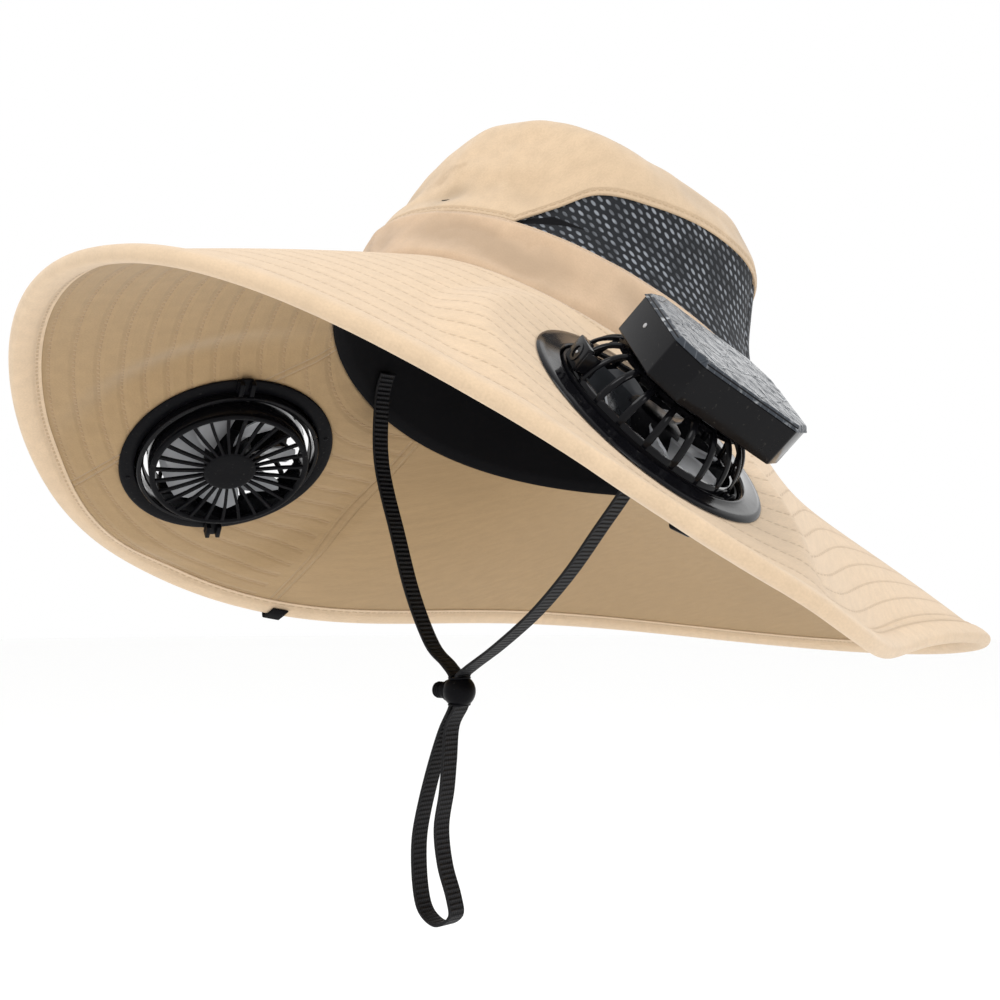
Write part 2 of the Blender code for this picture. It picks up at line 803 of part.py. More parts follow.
def charge_port(head, name, side):
    """Charging port on the front of the cage, with a round socket."""
    reach = HEAD_RADIUS + GAP + PORT_DEPTH / 2
    middle = DOME_START + 0.0015 + PORT_HEIGHT / 2
    spot = Matrix.Rotation(-side * PORT_TURN, 4, "Z") @ Matrix.Translation((reach, 0, middle))
    block = box_mesh("charge_port", (PORT_DEPTH, PORT_WIDTH, PORT_HEIGHT))
    piece = place("charge_port_" + name, block, BLACK_PLASTIC, head, spot)
    socket = rod_mesh("socket_" + name, SOCKET_RADIUS, 0.0, PORT_DEPTH, 12)
    cut(piece, as_cutter("socket_" + name, socket, head, spot @ Matrix.Translation((-PORT_DEPTH * 0.1, 0, 0))))


def fan(hat, name, side):
    """One fan with everything that it is clamped by and that rides on it."""
    seat = empty("fan_seat_" + name, hat, FAN_FRAMES[side])
    flange(seat, name)
    under_ring(seat, name)
    pivots(seat, name, side)
    tilt_axis = Vector((math.cos(side * TILT_ANGLE), math.sin(side * TILT_ANGLE), 0))
    head = empty("fan_head_" + name, seat, Matrix.Rotation(side * HEAD_LEAN, 4, tilt_axis))
    cage(head, name)
    grille(head, name)
    rotor(head, name)
    solar_box(head, name, side)
    charge_port(head, name, side)


# Chin strap and toggle

def strap_axes():
    """Directions along and across the upright plane that the strap hangs in."""
    tipped = Matrix.Rotation(-TIP_BACK, 3, "X")
    run = tipped @ ring_point(STRAP_TURN_LEFT) - tipped @ ring_point(STRAP_TURN_RIGHT)
    along = Vector((run.x, run.y, 0)).normalized()
    return along, Vector((-along.y, along.x, 0))


def strap_place(along, across, forward, height):
    """World point of a place in the strap's plane."""
    return along * forward + across * STRAP_PLANE_OFFSET + Vector((0, 0, height))


def smooth_route(points, steps):
    """Points on a smooth curve through a route's own points."""
    route = []
    for index in range(len(points) - 1):
        before = points[max(index - 1, 0)]
        start, end = points[index], points[index + 1]
        after = points[min(index + 2, len(points) - 1)]
        for step in range(steps):
            t = step / steps
            route.append(
                0.5 * (2 * start + (end - before) * t
                       + (2 * before - 5 * start + 4 * end - after) * t ** 2
                       + (3 * start - before - 3 * end + after) * t ** 3)
            )
    return route + [points[-1]]


def chin_strap():
    """Webbing from one side of the opening, through the toggle and back."""
    along, across = strap_axes()
    points = [strap_place(along, across, row.along, row.height) for row in STRAP_ROUTE]
    route = smooth_route(points, STRAP_STEPS)
    corners = ((-1, -1), (1, -1), (1, 1), (-1, 1))

    def point(u, v):
        index = round(u * (len(route) - 1))
        run = (route[min(index + 1, len(route) - 1)] - route[max(index - 1, 0)]).normalized()
        wall = run.cross(across).normalized()
        wide, thick = corners[round(v * 4) % 4]
        return route[index] + across * wide * STRAP_WIDTH / 2 + wall * thick * STRAP_WALL / 2
    mesh = grid_mesh("chin_strap", len(route) - 1, 4, point)
    bm = bmesh.new()
    bm.from_mesh(mesh)
    bmesh.ops.holes_fill(bm, edges=[edge for edge in bm.edges if edge.is_boundary])
    bmesh.ops.recalc_face_normals(bm, faces=bm.faces)
    bm.to_mesh(mesh)
    bm.free()
    place("chin_strap", mesh, BLACK_CLOTH)


def toggle():
    """Ball toggle with a slot for both strands and a sprung button."""
    along, across = strap_axes()
    centre = strap_place(along, across, TOGGLE_ALONG, TOGGLE_HEIGHT)
    axes = Matrix((along, across, Vector((0, 0, 1)))).transposed().to_4x4()
    frame = Matrix.Translation(centre) @ axes
    mesh = bpy.data.meshes.new("toggle_body")
    bm = bmesh.new()
    bmesh.ops.create_uvsphere(bm, u_segments=16, v_segments=10, radius=TOGGLE_RADIUS)
    bm.to_mesh(mesh)
    bm.free()
    mesh.shade_smooth()
    body = place("toggle_body", mesh, BLACK_PLASTIC, None, frame)
    slot = box_mesh("toggle_slot", (SLOT_DEPTH, SLOT_WIDTH, 3 * TOGGLE_RADIUS))
    cut(body, as_cutter("toggle_slot", slot, None, frame))
    bore = rod_mesh("toggle_bore", BUTTON_BORE, -2 * TOGGLE_RADIUS, -SLOT_DEPTH / 2 - GAP, 16)
    cut(body, as_cutter("toggle_bore", bore, None, frame))
    button = rod_mesh("toggle_button", BUTTON_RADIUS, -BUTTON_REACH, BUTTON_LENGTH - BUTTON_REACH, 16)
    place("toggle_button", button, BLACK_PLASTIC, None, frame)


hat_pose = empty("hat_pose", None, Matrix.Rotation(-TIP_BACK, 4, "X"))
crown_band(hat_pose)
crown_top(hat_pose)
for side_name, side_sign in SIDES:
    mesh_vent(hat_pose, side_name, side_sign)
sweatband(hat_pose)
brim(hat_pose)
rim_binding(hat_pose)
rim_tab(hat_pose)
for side_name, side_sign in SIDES:
    fan(hat_pose, side_name, side_sign)
chin_strap()
toggle()
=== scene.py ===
"""Looks of a wide sun hat with two solar fans in its brim.

Metres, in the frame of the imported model: +X is the wearer's left, -Y the front and
+Z up, with the origin in the middle of the head opening. The soft form is worked
out from the same sizes as the solids, so each cloth lies where its solid is.
"""
from __future__ import annotations

import json
import logging
import math
from collections.abc import Callable, Iterable
from dataclasses import dataclass
from enum import Enum
from functools import cache, cached_property
from itertools import starmap
from typing import NamedTuple

import bmesh
import bpy
from mathutils import Matrix, Vector, noise

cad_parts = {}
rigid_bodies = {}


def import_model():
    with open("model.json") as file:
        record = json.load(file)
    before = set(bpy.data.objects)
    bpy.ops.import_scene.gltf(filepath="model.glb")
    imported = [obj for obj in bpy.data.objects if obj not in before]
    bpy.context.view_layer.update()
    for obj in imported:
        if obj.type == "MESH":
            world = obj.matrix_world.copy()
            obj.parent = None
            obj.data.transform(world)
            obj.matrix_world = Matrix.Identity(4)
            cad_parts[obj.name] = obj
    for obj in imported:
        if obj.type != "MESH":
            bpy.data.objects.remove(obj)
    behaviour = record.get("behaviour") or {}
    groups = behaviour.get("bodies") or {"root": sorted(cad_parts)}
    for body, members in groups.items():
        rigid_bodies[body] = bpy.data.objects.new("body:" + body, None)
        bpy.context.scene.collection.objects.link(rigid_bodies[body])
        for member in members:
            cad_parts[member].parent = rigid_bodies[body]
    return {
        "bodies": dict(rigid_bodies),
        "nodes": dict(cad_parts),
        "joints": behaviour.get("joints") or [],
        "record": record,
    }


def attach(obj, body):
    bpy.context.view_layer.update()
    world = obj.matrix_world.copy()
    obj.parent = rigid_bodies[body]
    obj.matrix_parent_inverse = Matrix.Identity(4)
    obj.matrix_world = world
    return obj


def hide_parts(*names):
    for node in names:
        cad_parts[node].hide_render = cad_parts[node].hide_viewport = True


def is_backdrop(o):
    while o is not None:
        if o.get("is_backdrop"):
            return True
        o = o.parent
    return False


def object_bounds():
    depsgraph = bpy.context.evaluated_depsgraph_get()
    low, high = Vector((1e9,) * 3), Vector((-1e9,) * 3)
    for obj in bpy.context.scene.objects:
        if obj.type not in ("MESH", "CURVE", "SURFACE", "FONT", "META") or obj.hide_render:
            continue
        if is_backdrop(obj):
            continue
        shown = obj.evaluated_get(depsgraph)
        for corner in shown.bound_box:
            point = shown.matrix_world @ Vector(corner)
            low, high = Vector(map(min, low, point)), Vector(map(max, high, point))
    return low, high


log = logging.getLogger("solar_fan_hat")

SIDES = {"left": 1, "right": -1}
WELD = 0.00002
RELIEF = 0.001
TURN_STEP = 0.03
ROUND_SHARE = 0.42
UP = Vector((0.0, 0.0, 1.0))

PointOf = Callable[[float, float], Vector]
UvOf = Callable[[float, float], tuple[float, float]]


class Wave(NamedTuple):
    """One wave of the soft rim, as shares of the rim's drop and of its side reach."""

    order: int
    height_cos: float
    height_sin: float
    reach_cos: float
    reach_sin: float


class Section(NamedTuple):
    """One section of the crown, as shares of its height, length and width."""

    climb: float
    height: float
    length: float
    width: float


class Dent(NamedTuple):
    """One broad dent of the crown, in degrees, in climb and as a share of its height."""

    turn: float
    climb: float
    turn_spread: float
    climb_spread: float
    depth: float


class VentEdge(NamedTuple):
    """One point of the mesh vent's upper edge."""

    turn: float
    climb: float


class Crease(NamedTuple):
    """One narrow fold of the cloth, from a start to an end, in millimetres wide and deep."""

    start_turn: float
    start_climb: float
    end_turn: float
    end_climb: float
    width: float
    depth: float


class StrapPoint(NamedTuple):
    """One point of the chin strap in its upright plane."""

    along: float
    height: float


RIM_WAVES = tuple(starmap(Wave, (
    (0, 0.000, 0.000, -0.048, 0.000), (1, -0.435, -0.052, 0.096, -0.042),
    (2, 0.504, 0.000, 0.000, 0.010), (3, -0.023, 0.000, -0.096, 0.000),
    (4, 0.014, 0.000, 0.048, 0.000),
)))
CROWN_PROFILE = tuple(starmap(Section, (
    (0.00, 0.000, 1.000, 1.000), (0.15, 0.150, 0.950, 0.955), (0.30, 0.300, 0.900, 0.910),
    (0.48, 0.480, 0.840, 0.855), (0.66, 0.660, 0.817, 0.815), (0.80, 0.800, 0.788, 0.765),
    (0.90, 0.895, 0.749, 0.700), (1.00, 0.965, 0.675, 0.610), (1.12, 1.015, 0.548, 0.470),
    (1.28, 1.045, 0.372, 0.310), (1.46, 1.060, 0.176, 0.150), (1.60, 1.065, 0.000, 0.000),
)))
CROWN_DENTS = tuple(starmap(Dent, (
    (35, 1.20, 40, 0.25, 0.018), (-60, 0.95, 22, 0.20, 0.030), (95, 0.90, 16, 0.22, 0.026),
    (150, 0.70, 24, 0.25, 0.030), (-130, 0.60, 20, 0.25, 0.028), (104, 0.98, 22, 0.26, -0.075),
    (36, 0.98, 26, 0.18, -0.050), (-26, 0.36, 30, 0.28, -0.056),
)))
VENT_UPPER_EDGE = tuple(starmap(VentEdge, (
    (30, 0.33), (38, 0.46), (48, 0.60), (65, 0.68), (90, 0.76), (120, 0.77), (180, 0.74),
)))
CROWN_CREASES = tuple(starmap(Crease, (
    (-8, 0.40, 14, 0.47, 6, 0.8), (2, 0.36, 6, 0.52, 5, 0.7), (20, 0.50, 34, 0.44, 7, 0.6),
    (30, 1.04, 62, 1.00, 9, 1.0), (48, 1.18, 66, 1.10, 8, 1.1), (70, 0.86, 96, 0.96, 10, 0.9),
    (100, 0.84, 122, 1.02, 9, 1.3), (118, 0.80, 126, 0.98, 7, 1.0), (-30, 0.44, -12, 0.60, 8, 0.9),
    (-50, 0.80, -70, 1.00, 10, 1.2), (-95, 0.82, -120, 0.98, 9, 1.2),
    (150, 0.82, 175, 1.04, 12, 1.4), (-150, 0.80, -168, 0.96, 10, 1.2),
)))
BAND_CREASES = tuple(starmap(Crease, (
    (-24, 0.26, -16, 0.02, 7, 1.3), (-14, 0.28, -4, 0.04, 6, 0.9), (-2, 0.20, 26, 0.10, 8, 1.1),
    (10, 0.26, 30, 0.16, 6, 0.8), (26, 0.15, 44, 0.05, 7, 1.2), (36, 0.22, 52, 0.12, 8, 0.9),
    (58, 0.24, 76, 0.08, 9, 0.9), (84, 0.10, 108, 0.22, 9, 0.8), (120, 0.22, 140, 0.06, 9, 0.9),
    (160, 0.08, 178, 0.22, 9, 0.8), (-40, 0.06, -60, 0.22, 8, 1.0), (-80, 0.22, -104, 0.08, 9, 0.9),
    (-124, 0.08, -150, 0.22, 9, 0.9),
)))
STRAP_ROUTE = tuple(starmap(StrapPoint, (
    (-0.0795, 0.0165), (-0.0832, 0.0050), (-0.0830, -0.0240), (-0.0716, -0.0571),
    (-0.0616, -0.0830), (-0.0495, -0.1040), (-0.0396, -0.1120), (-0.0346, -0.1170),
    (-0.0342, -0.1232), (-0.0346, -0.1296), (-0.0405, -0.1397), (-0.0472, -0.1558),
    (-0.0535, -0.1750), (-0.0562, -0.1890), (-0.0553, -0.2056), (-0.0516, -0.2164),
    (-0.0425, -0.2208), (-0.0340, -0.2164), (-0.0352, -0.2085), (-0.0404, -0.1960),
    (-0.0427, -0.1810), (-0.0398, -0.1656), (-0.0384, -0.1526), (-0.0370, -0.1383),
    (-0.0317, -0.1296), (-0.0312, -0.1232), (-0.0310, -0.1170), (-0.0262, -0.1132),
    (-0.0098, -0.1035), (0.0106, -0.0893), (0.0288, -0.0729), (0.0443, -0.0558), (0.0590, -0.0392),
    (0.0710, -0.0210), (0.0816, -0.0045), (0.0798, 0.0095),
)))


def smooth_step(value: float) -> float:
    """Ease a value from 0 to 1, flat at both ends."""
    value = min(max(value, 0.0), 1.0)
    return value * value * (3.0 - 2.0 * value)


def eased(rows: tuple, key: str, column: str, value: float) -> float:
    """Read a table's column along a smooth curve through its rows.

    Args:
        rows: the table's rows, in order of their key.
        key: name of the column that the value is looked up in.
        column: name of the column that is read.
        value: place in the key column.

    Returns:
        The column's value there.
    """
    last = len(rows) - 2
    index = 0
    while index < last and value > getattr(rows[index + 1], key):
        index += 1
    start, end = rows[index], rows[index + 1]
    before = rows[max(index - 1, 0)]
    after = rows[min(index + 2, last + 1)]
    span = getattr(end, key) - getattr(start, key)
    share = (value - getattr(start, key)) / span
    low, high = getattr(start, column), getattr(end, column)

    def slope(first: tuple, second: tuple) -> float:
        """Slope between two rows, per span of this run."""
        run = getattr(second, key) - getattr(first, key)
        return (getattr(second, column) - getattr(first, column)) / run * span if run else 0.0
    leaving, arriving = slope(before, end), slope(start, after)
    square, cube = share ** 2, share ** 3
    return ((2 * cube - 3 * square + 1) * low + (cube - 2 * square + share) * leaving
            + (3 * square - 2 * cube) * high + (cube - square) * arriving)


@dataclass(frozen=True)
class HatForm:
    """Shape of the hat's soft parts, in the hat's own upright frame."""

    tip_back: float = math.radians(24.3)
    opening_length: float = 0.2046
    opening_width: float = 0.1810
    opening_rise: float = 0.0076
    rim_front: float = 0.213
    rim_side: float = 0.190
    rim_back: float = 0.277
    rim_drop: float = 0.0655
    brim_sag: float = 0.0058
    sag_all_round: float = -0.36
    sag_at_front: float = -0.345
    brim_wall: float = 0.0024
    brim_seam: float = 0.0014
    crown_height: float = 0.0959
    crown_lean: float = -0.0038
    band_top: float = 0.31
    band_foot: float = -0.013
    vent_start: float = 30.0
    binding_width: float = 0.0095
    fan_turn: float = math.radians(64.8)
    fan_reach: float = 0.436
    flange_radius: float = 0.0478
    seat_margin: float = 0.016
    seat_blend: float = 0.020
    edge_row: float = 1.3

    @cached_property
    def pose(self) -> Matrix:
        """Turn from the hat's own frame to the world, tipped back."""
        return Matrix.Rotation(-self.tip_back, 4, "X")

    def ring_point(self, turn: float) -> Vector:
        """Point of the head opening at a turn from the front towards the left."""
        return Vector((
            self.opening_width / 2 * math.sin(turn),
            -self.opening_length / 2 * math.cos(turn),
            self.opening_rise * math.cos(2 * turn),
        ))

    def rim_point(self, turn: float) -> Vector:
        """Point of the brim's outer rim."""
        reach = (self.rim_front + self.rim_back + 2 * self.rim_side) / 4
        reach += (self.rim_front - self.rim_back) / 2 * math.cos(turn)
        reach += (self.rim_front + self.rim_back - 2 * self.rim_side) / 4 * math.cos(2 * turn)
        height = -self.rim_drop
        for wave in RIM_WAVES:
            cosine = math.cos(wave.order * turn)
            sine = math.sin(wave.order * turn)
            reach += self.rim_side * (wave.reach_cos * cosine + wave.reach_sin * sine)
            height += self.rim_drop * (wave.height_cos * cosine + wave.height_sin * sine)
        return Vector((reach * math.sin(turn), -reach * math.cos(turn), height))

    def brim_length(self, turn: float) -> float:
        """Reach of the brim from the opening to its rim."""
        return (self.rim_point(turn) - self.ring_point(turn)).length

    def soft_point(self, turn: float, share: float) -> Vector:
        """Point of the brim before the fan seats flatten it."""
        point = self.ring_point(turn).lerp(self.rim_point(turn), share)
        sag = self.sag_all_round + self.sag_at_front * math.cos(turn) + math.cos(2 * turn)
        point.z += self.brim_sag * sag * 4 * share * (1 - share)
        return point

    def fan_frame(self, side: int) -> Matrix:
        """Frame of a fan seat in the hat: X outward, Z up off the brim."""
        step = TURN_STEP
        turn = side * self.fan_turn
        reach = self.fan_reach
        across = self.soft_point(turn + step, reach) - self.soft_point(turn - step, reach)
        outward = (self.soft_point(turn, reach + step) - self.soft_point(turn, reach - step)).normalized()
        upward = across.cross(outward).normalized()
        if upward.z < 0:
            upward = -upward
        turning = Matrix((outward, upward.cross(outward), upward)).transposed().to_4x4()
        return Matrix.Translation(self.soft_point(turn, reach)) @ turning

    @cached_property
    def fan_frames(self) -> tuple[tuple[Matrix, Matrix], ...]:
        """Frame of each fan seat, with its inverse."""
        frames = [self.fan_frame(side) for side in SIDES.values()]
        return tuple((frame, frame.inverted()) for frame in frames)

    def brim_point(self, turn: float, share: float) -> Vector:
        """Point of the brim, flat where a fan is clamped to it."""
        point = self.soft_point(turn, share)
        ease = smooth_step(share / 0.1) * smooth_step((1 - share) / 0.1)
        for frame, inverse in self.fan_frames:
            local = inverse @ point
            beyond = math.hypot(local.x, local.y) - self.flange_radius - self.seat_margin
            local.z *= 1 - ease * (1 - smooth_step(beyond / self.seat_blend))
            point = frame @ local
        return point

    def edge_share(self, turn: float) -> float:
        """Share of the brim's reach where its straight outer edge starts."""
        return 1 - self.edge_row * self.binding_width / self.brim_length(turn)

    def edge_axes(self, turn: float) -> tuple[Vector, Vector]:
        """Outward and upward directions of the brim's edge."""
        outward = (self.rim_point(turn) - self.brim_point(turn, self.edge_share(turn))).normalized()
        along = self.rim_point(turn + TURN_STEP) - self.rim_point(turn - TURN_STEP)
        upward = along.cross(outward).normalized()
        return outward, upward if upward.z > 0 else -upward

    def crown_point(self, turn: float, climb: float) -> Vector:
        """Point of the crown's outer face."""
        height = eased(CROWN_PROFILE, "climb", "height", climb)
        length = max(eased(CROWN_PROFILE, "climb", "length", climb), 0.0)
        width = max(eased(CROWN_PROFILE, "climb", "width", climb), 0.0)
        ring = self.ring_point(turn)
        point = Vector((
            ring.x * width,
            ring.y * length + self.crown_lean * height,
            ring.z * (1 - min(height, 1.0)) + self.crown_height * height,
        ))
        top = CROWN_PROFILE[-1].climb
        fade = smooth_step(climb / 0.2) * smooth_step((top - climb) / 0.2)
        for dent in CROWN_DENTS:
            apart = math.remainder(turn - math.radians(dent.turn), math.tau)
            sideways = apart / math.radians(dent.turn_spread)
            upwards = (climb - dent.climb) / dent.climb_spread
            depth = self.crown_height * dent.depth * fade * math.exp(-sideways ** 2 - upwards ** 2)
            point += self.inward(turn, climb) * depth
        return point

    def inward(self, turn: float, climb: float) -> Vector:
        """Direction into the crown, level at its wall and downward on its top."""
        ring = self.ring_point(turn)
        return Vector((-ring.x, -ring.y, -0.6 * self.opening_width * smooth_step(climb - 0.6))).normalized()

    def vent_top(self, turn: float) -> float:
        """Climb of the mesh vent's upper edge."""
        degrees = abs(math.degrees(math.remainder(turn, math.tau)))
        if degrees < self.vent_start:
            return self.band_top
        return eased(VENT_UPPER_EDGE, "turn", "climb", degrees)

    def crease_depth(self, creases: Iterable[Crease], turn: float, climb: float) -> float:
        """Depth of the narrow folds at a place of the crown.

        Args:
            creases: the folds that are looked at.
            turn: turn from the front, in radians.
            climb: climb of the crown's profile.

        Returns:
            How far the cloth goes in, in metres.
        """
        depth = 0.0
        arm = 0.8 * self.opening_length / 2
        for crease in creases:
            start = Vector((0.0, crease.start_climb * self.crown_height))
            apart = math.remainder(math.radians(crease.end_turn - crease.start_turn), math.tau)
            end = Vector((arm * apart, crease.end_climb * self.crown_height))
            here_turn = math.remainder(turn - math.radians(crease.start_turn), math.tau)
            here = Vector((arm * here_turn, climb * self.crown_height))
            run = end - start
            share = min(max((here - start).dot(run) / run.length_squared, 0.0), 1.0)
            off = (here - start - run * share).length / (crease.width * 0.001)
            if off < 2.5:
                taper = 0.35 + 0.65 * math.sin(math.pi * min(max(share, 0.08), 0.92))
                depth += crease.depth * 0.001 * taper * math.exp(-off ** 2)
        return depth


FORM = HatForm()


def full_turn(share: float) -> float:
    """Turn from the back, round by the front and to the back again."""
    return math.tau * share - math.pi


class Graph:
    """Adds nodes to a node tree and joins them."""

    def __init__(self, tree: bpy.types.NodeTree) -> None:
        """Keep the tree that the nodes go in."""
        self.tree = tree

    def add(self, kind: str, **settings: object) -> bpy.types.Node:
        """Add a node and set its properties.

        Args:
            kind: the node's type.
            settings: properties of the node, by name.

        Returns:
            The new node.
        """
        node = self.tree.nodes.new(kind)
        for name, value in settings.items():
            setattr(node, name, value)
        return node

    def feed(self, socket: bpy.types.NodeSocket, value: object) -> None:
        """Join a socket to another one, or give it a value."""
        if isinstance(value, bpy.types.NodeSocket):
            self.tree.links.new(value, socket)
        else:
            socket.default_value = value

    def math(self, operation: str, *values: object) -> bpy.types.NodeSocket:
        """Work out a number.

        Args:
            operation: what the Math node does.
            values: numbers or sockets, in the node's order.

        Returns:
            The socket with the result.
        """
        node = self.add("ShaderNodeMath", operation=operation)
        for socket, value in zip(node.inputs, values):
            self.feed(socket, value)
        return node.outputs[0]

    def spread(
        self,
        value: object,
        low: float,
        high: float,
        start: float = 0.0,
        end: float = 1.0,
    ) -> bpy.types.NodeSocket:
        """Map a number's range smoothly onto another one."""
        node = self.add("ShaderNodeMapRange", interpolation_type="SMOOTHSTEP")
        for socket, number in zip(node.inputs, (value, low, high, start, end)):
            self.feed(socket, number)
        return node.outputs[0]

    def mix(self, factor: object, low: object, high: object) -> bpy.types.NodeSocket:
        """Mix two colours by a factor."""
        node = self.add("ShaderNodeMix", data_type="RGBA")
        self.feed(node.inputs["Factor"], factor)
        self.feed(node.inputs[6], low)
        self.feed(node.inputs[7], high)
        return node.outputs[2]

    def times(self, first: object, second: object) -> bpy.types.NodeSocket:
        """Multiply two numbers."""
        return self.math("MULTIPLY", first, second)

    def plus(self, first: object, second: object) -> bpy.types.NodeSocket:
        """Add two numbers."""
        return self.math("ADD", first, second)

    def minus(self, first: object, second: object) -> bpy.types.NodeSocket:
        """Take the second number from the first."""
        return self.math("SUBTRACT", first, second)

    def over(self, first: object, second: object) -> bpy.types.NodeSocket:
        """Divide the first number by the second."""
        return self.math("DIVIDE", first, second)

    def absolute(self, value: object) -> bpy.types.NodeSocket:
        """Drop a number's sign."""
        return self.math("ABSOLUTE", value)

    def fading(self, value: object, low: float, high: float) -> bpy.types.NodeSocket:
        """Fall smoothly from 1 to 0 between two numbers."""
        return self.minus(1.0, self.spread(value, low, high))

    def emboss(self, shader: bpy.types.Node, height: object, strength: float) -> None:
        """Give the shader relief from a height in millimetres."""
        bump = self.add("ShaderNodeBump")
        bump.inputs["Strength"].default_value = strength
        bump.inputs["Distance"].default_value = RELIEF
        self.feed(bump.inputs["Height"], height)
        self.feed(shader.inputs["Normal"], bump.outputs[0])

    def dress(self, shader: bpy.types.Node, values: dict[str, object]) -> None:
        """Feed the shader's sockets by name."""
        for name, value in values.items():
            self.feed(shader.inputs[name], value)

    def noise(self, vector: object, scale: object, detail: float = 2.0) -> bpy.types.NodeSocket:
        """Soft noise over a vector."""
        node = self.add("ShaderNodeTexNoise")
        self.feed(node.inputs["Vector"], vector)
        self.feed(node.inputs["Scale"], scale)
        self.feed(node.inputs["Detail"], detail)
        return node.outputs["Fac"]

    def split(self, vector: object) -> list[bpy.types.NodeSocket]:
        """Part a vector into its three numbers."""
        node = self.add("ShaderNodeSeparateXYZ")
        self.feed(node.inputs[0], vector)
        return list(node.outputs)

    def effect(self, group: bpy.types.NodeTree, **inputs: object) -> dict[str, bpy.types.NodeSocket]:
        """Place a shared effect with its own values.

        Args:
            group: the effect's node group.
            inputs: values or sockets by the group's input names, in lower case.

        Returns:
            The group's outputs by name.
        """
        node = self.add("ShaderNodeGroup", node_tree=group)
        for name, value in inputs.items():
            self.feed(node.inputs[name.capitalize()], value)
        return {socket.name: socket for socket in node.outputs}


class Effects:
    """Node groups that several finishes share, each built once."""

    @staticmethod
    def group(
        name: str,
        inputs: dict[str, str],
        outputs: Iterable[str],
    ) -> tuple[Graph, dict, bpy.types.Node]:
        """Start a node group with named inputs and float outputs.

        Args:
            name: name of the group.
            inputs: socket type by input name.
            outputs: names of the outputs.

        Returns:
            The group's graph, its inputs by name and its output node.
        """
        tree = bpy.data.node_groups.new(name, "ShaderNodeTree")
        for label, kind in inputs.items():
            tree.interface.new_socket(name=label, in_out="INPUT", socket_type=kind)
        for label in outputs:
            tree.interface.new_socket(name=label, in_out="OUTPUT", socket_type="NodeSocketFloat")
        graph = Graph(tree)
        start = graph.add("NodeGroupInput")
        end = graph.add("NodeGroupOutput")
        return graph, {socket.name: socket for socket in start.outputs}, end

    @staticmethod
    @cache
    def weave() -> bpy.types.NodeTree:
        """Plain weave with uneven threads, from a vector in metres."""
        graph, given, end = Effects.group(
            "cloth_weave",
            {"Vector": "NodeSocketVector", "Pitch": "NodeSocketFloat"},
            ("Height", "Tone"),
        )
        across, along, _ = graph.split(given["Vector"])
        turns = graph.over(math.tau, given["Pitch"])
        warp = graph.math("SINE", graph.times(across, turns))
        weft = graph.math("SINE", graph.times(along, turns))
        cross = graph.times(warp, weft)
        slub = graph.noise(given["Vector"], 1100.0, 3.0)
        streak = graph.noise(given["Vector"], 160.0, 3.0)
        height = graph.plus(graph.times(cross, 0.35), slub)
        graph.feed(end.inputs["Height"], height)
        tone = graph.plus(graph.times(slub, 0.5), graph.times(streak, 0.5))
        graph.feed(end.inputs["Tone"], tone)
        return graph.tree

    @staticmethod
    @cache
    def stitch() -> bpy.types.NodeTree:
        """Run of stitches in a soft groove, from distances across and along it."""
        graph, given, end = Effects.group(
            "stitch_run",
            {"Across": "NodeSocketFloat", "Along": "NodeSocketFloat", "Length": "NodeSocketFloat",
             "Thread": "NodeSocketFloat", "Groove": "NodeSocketFloat"},
            ("Mask", "Dip"),
        )
        off = graph.absolute(given["Across"])
        phase = graph.math("FRACT", graph.over(given["Along"], given["Length"]))
        middle = graph.absolute(graph.minus(phase, 0.5))
        dash = graph.fading(middle, 0.27, 0.36)
        line = graph.fading(graph.over(off, given["Thread"]), 0.35, 0.75)
        dip = graph.fading(graph.over(off, given["Groove"]), 0.0, 1.0)
        graph.feed(end.inputs["Mask"], graph.times(dash, line))
        graph.feed(end.inputs["Dip"], dip)
        return graph.tree

    @staticmethod
    @cache
    def wear() -> bpy.types.NodeTree:
        """Slow changes of tone from handling, and a few faint stains."""
        graph, given, end = Effects.group("cloth_wear", {"Vector": "NodeSocketVector"}, ("Tone", "Stain"))
        slow = graph.noise(given["Vector"], 14.0, 4.0)
        blot = graph.noise(given["Vector"], 46.0, 5.0)
        graph.feed(end.inputs["Tone"], slow)
        graph.feed(end.inputs["Stain"], graph.spread(blot, 0.64, 0.74))
        return graph.tree

    @staticmethod
    @cache
    def moulding() -> bpy.types.NodeTree:
        """Grain, fine scratches and dust of moulded plastic."""
        graph, given, end = Effects.group(
            "plastic_moulding",
            {"Vector": "NodeSocketVector", "Grain": "NodeSocketFloat"},
            ("Height", "Gloss", "Dust"),
        )
        graph.feed(end.inputs["Height"], graph.noise(given["Vector"], given["Grain"]))
        graph.feed(end.inputs["Gloss"], graph.noise(given["Vector"], 120.0, 4.0))
        graph.feed(end.inputs["Dust"], graph.spread(graph.noise(given["Vector"], 620.0, 2.0), 0.66, 0.74))
        return graph.tree


Colour = tuple[float, float, float]


def opaque(colour: Colour, factor: float = 1.0) -> tuple[float, float, float, float]:
    """Colour with full alpha, made lighter or darker by a factor."""
    return (colour[0] * factor, colour[1] * factor, colour[2] * factor, 1.0)


def blank(name: str) -> tuple[bpy.types.Material, Graph, bpy.types.Node]:
    """New material with its graph and its Principled shader."""
    material = bpy.data.materials.new(name)
    material.use_nodes = True
    graph = Graph(material.node_tree)
    return material, graph, material.node_tree.nodes["Principled BSDF"]


class Sewing(Enum):
    """How a cloth is sewn."""

    PLAIN = "plain"
    QUILTED = "quilted rows all round"
    PANELLED = "quilted rows in the front panels, with radial seams"
    BOUND = "one row along each edge of the binding"
    TOPSTITCHED = "one row along each edge"


class Seam(NamedTuple):
    """One radial seam of the brim, in degrees at the opening and at the rim."""

    inner_turn: float
    outer_turn: float


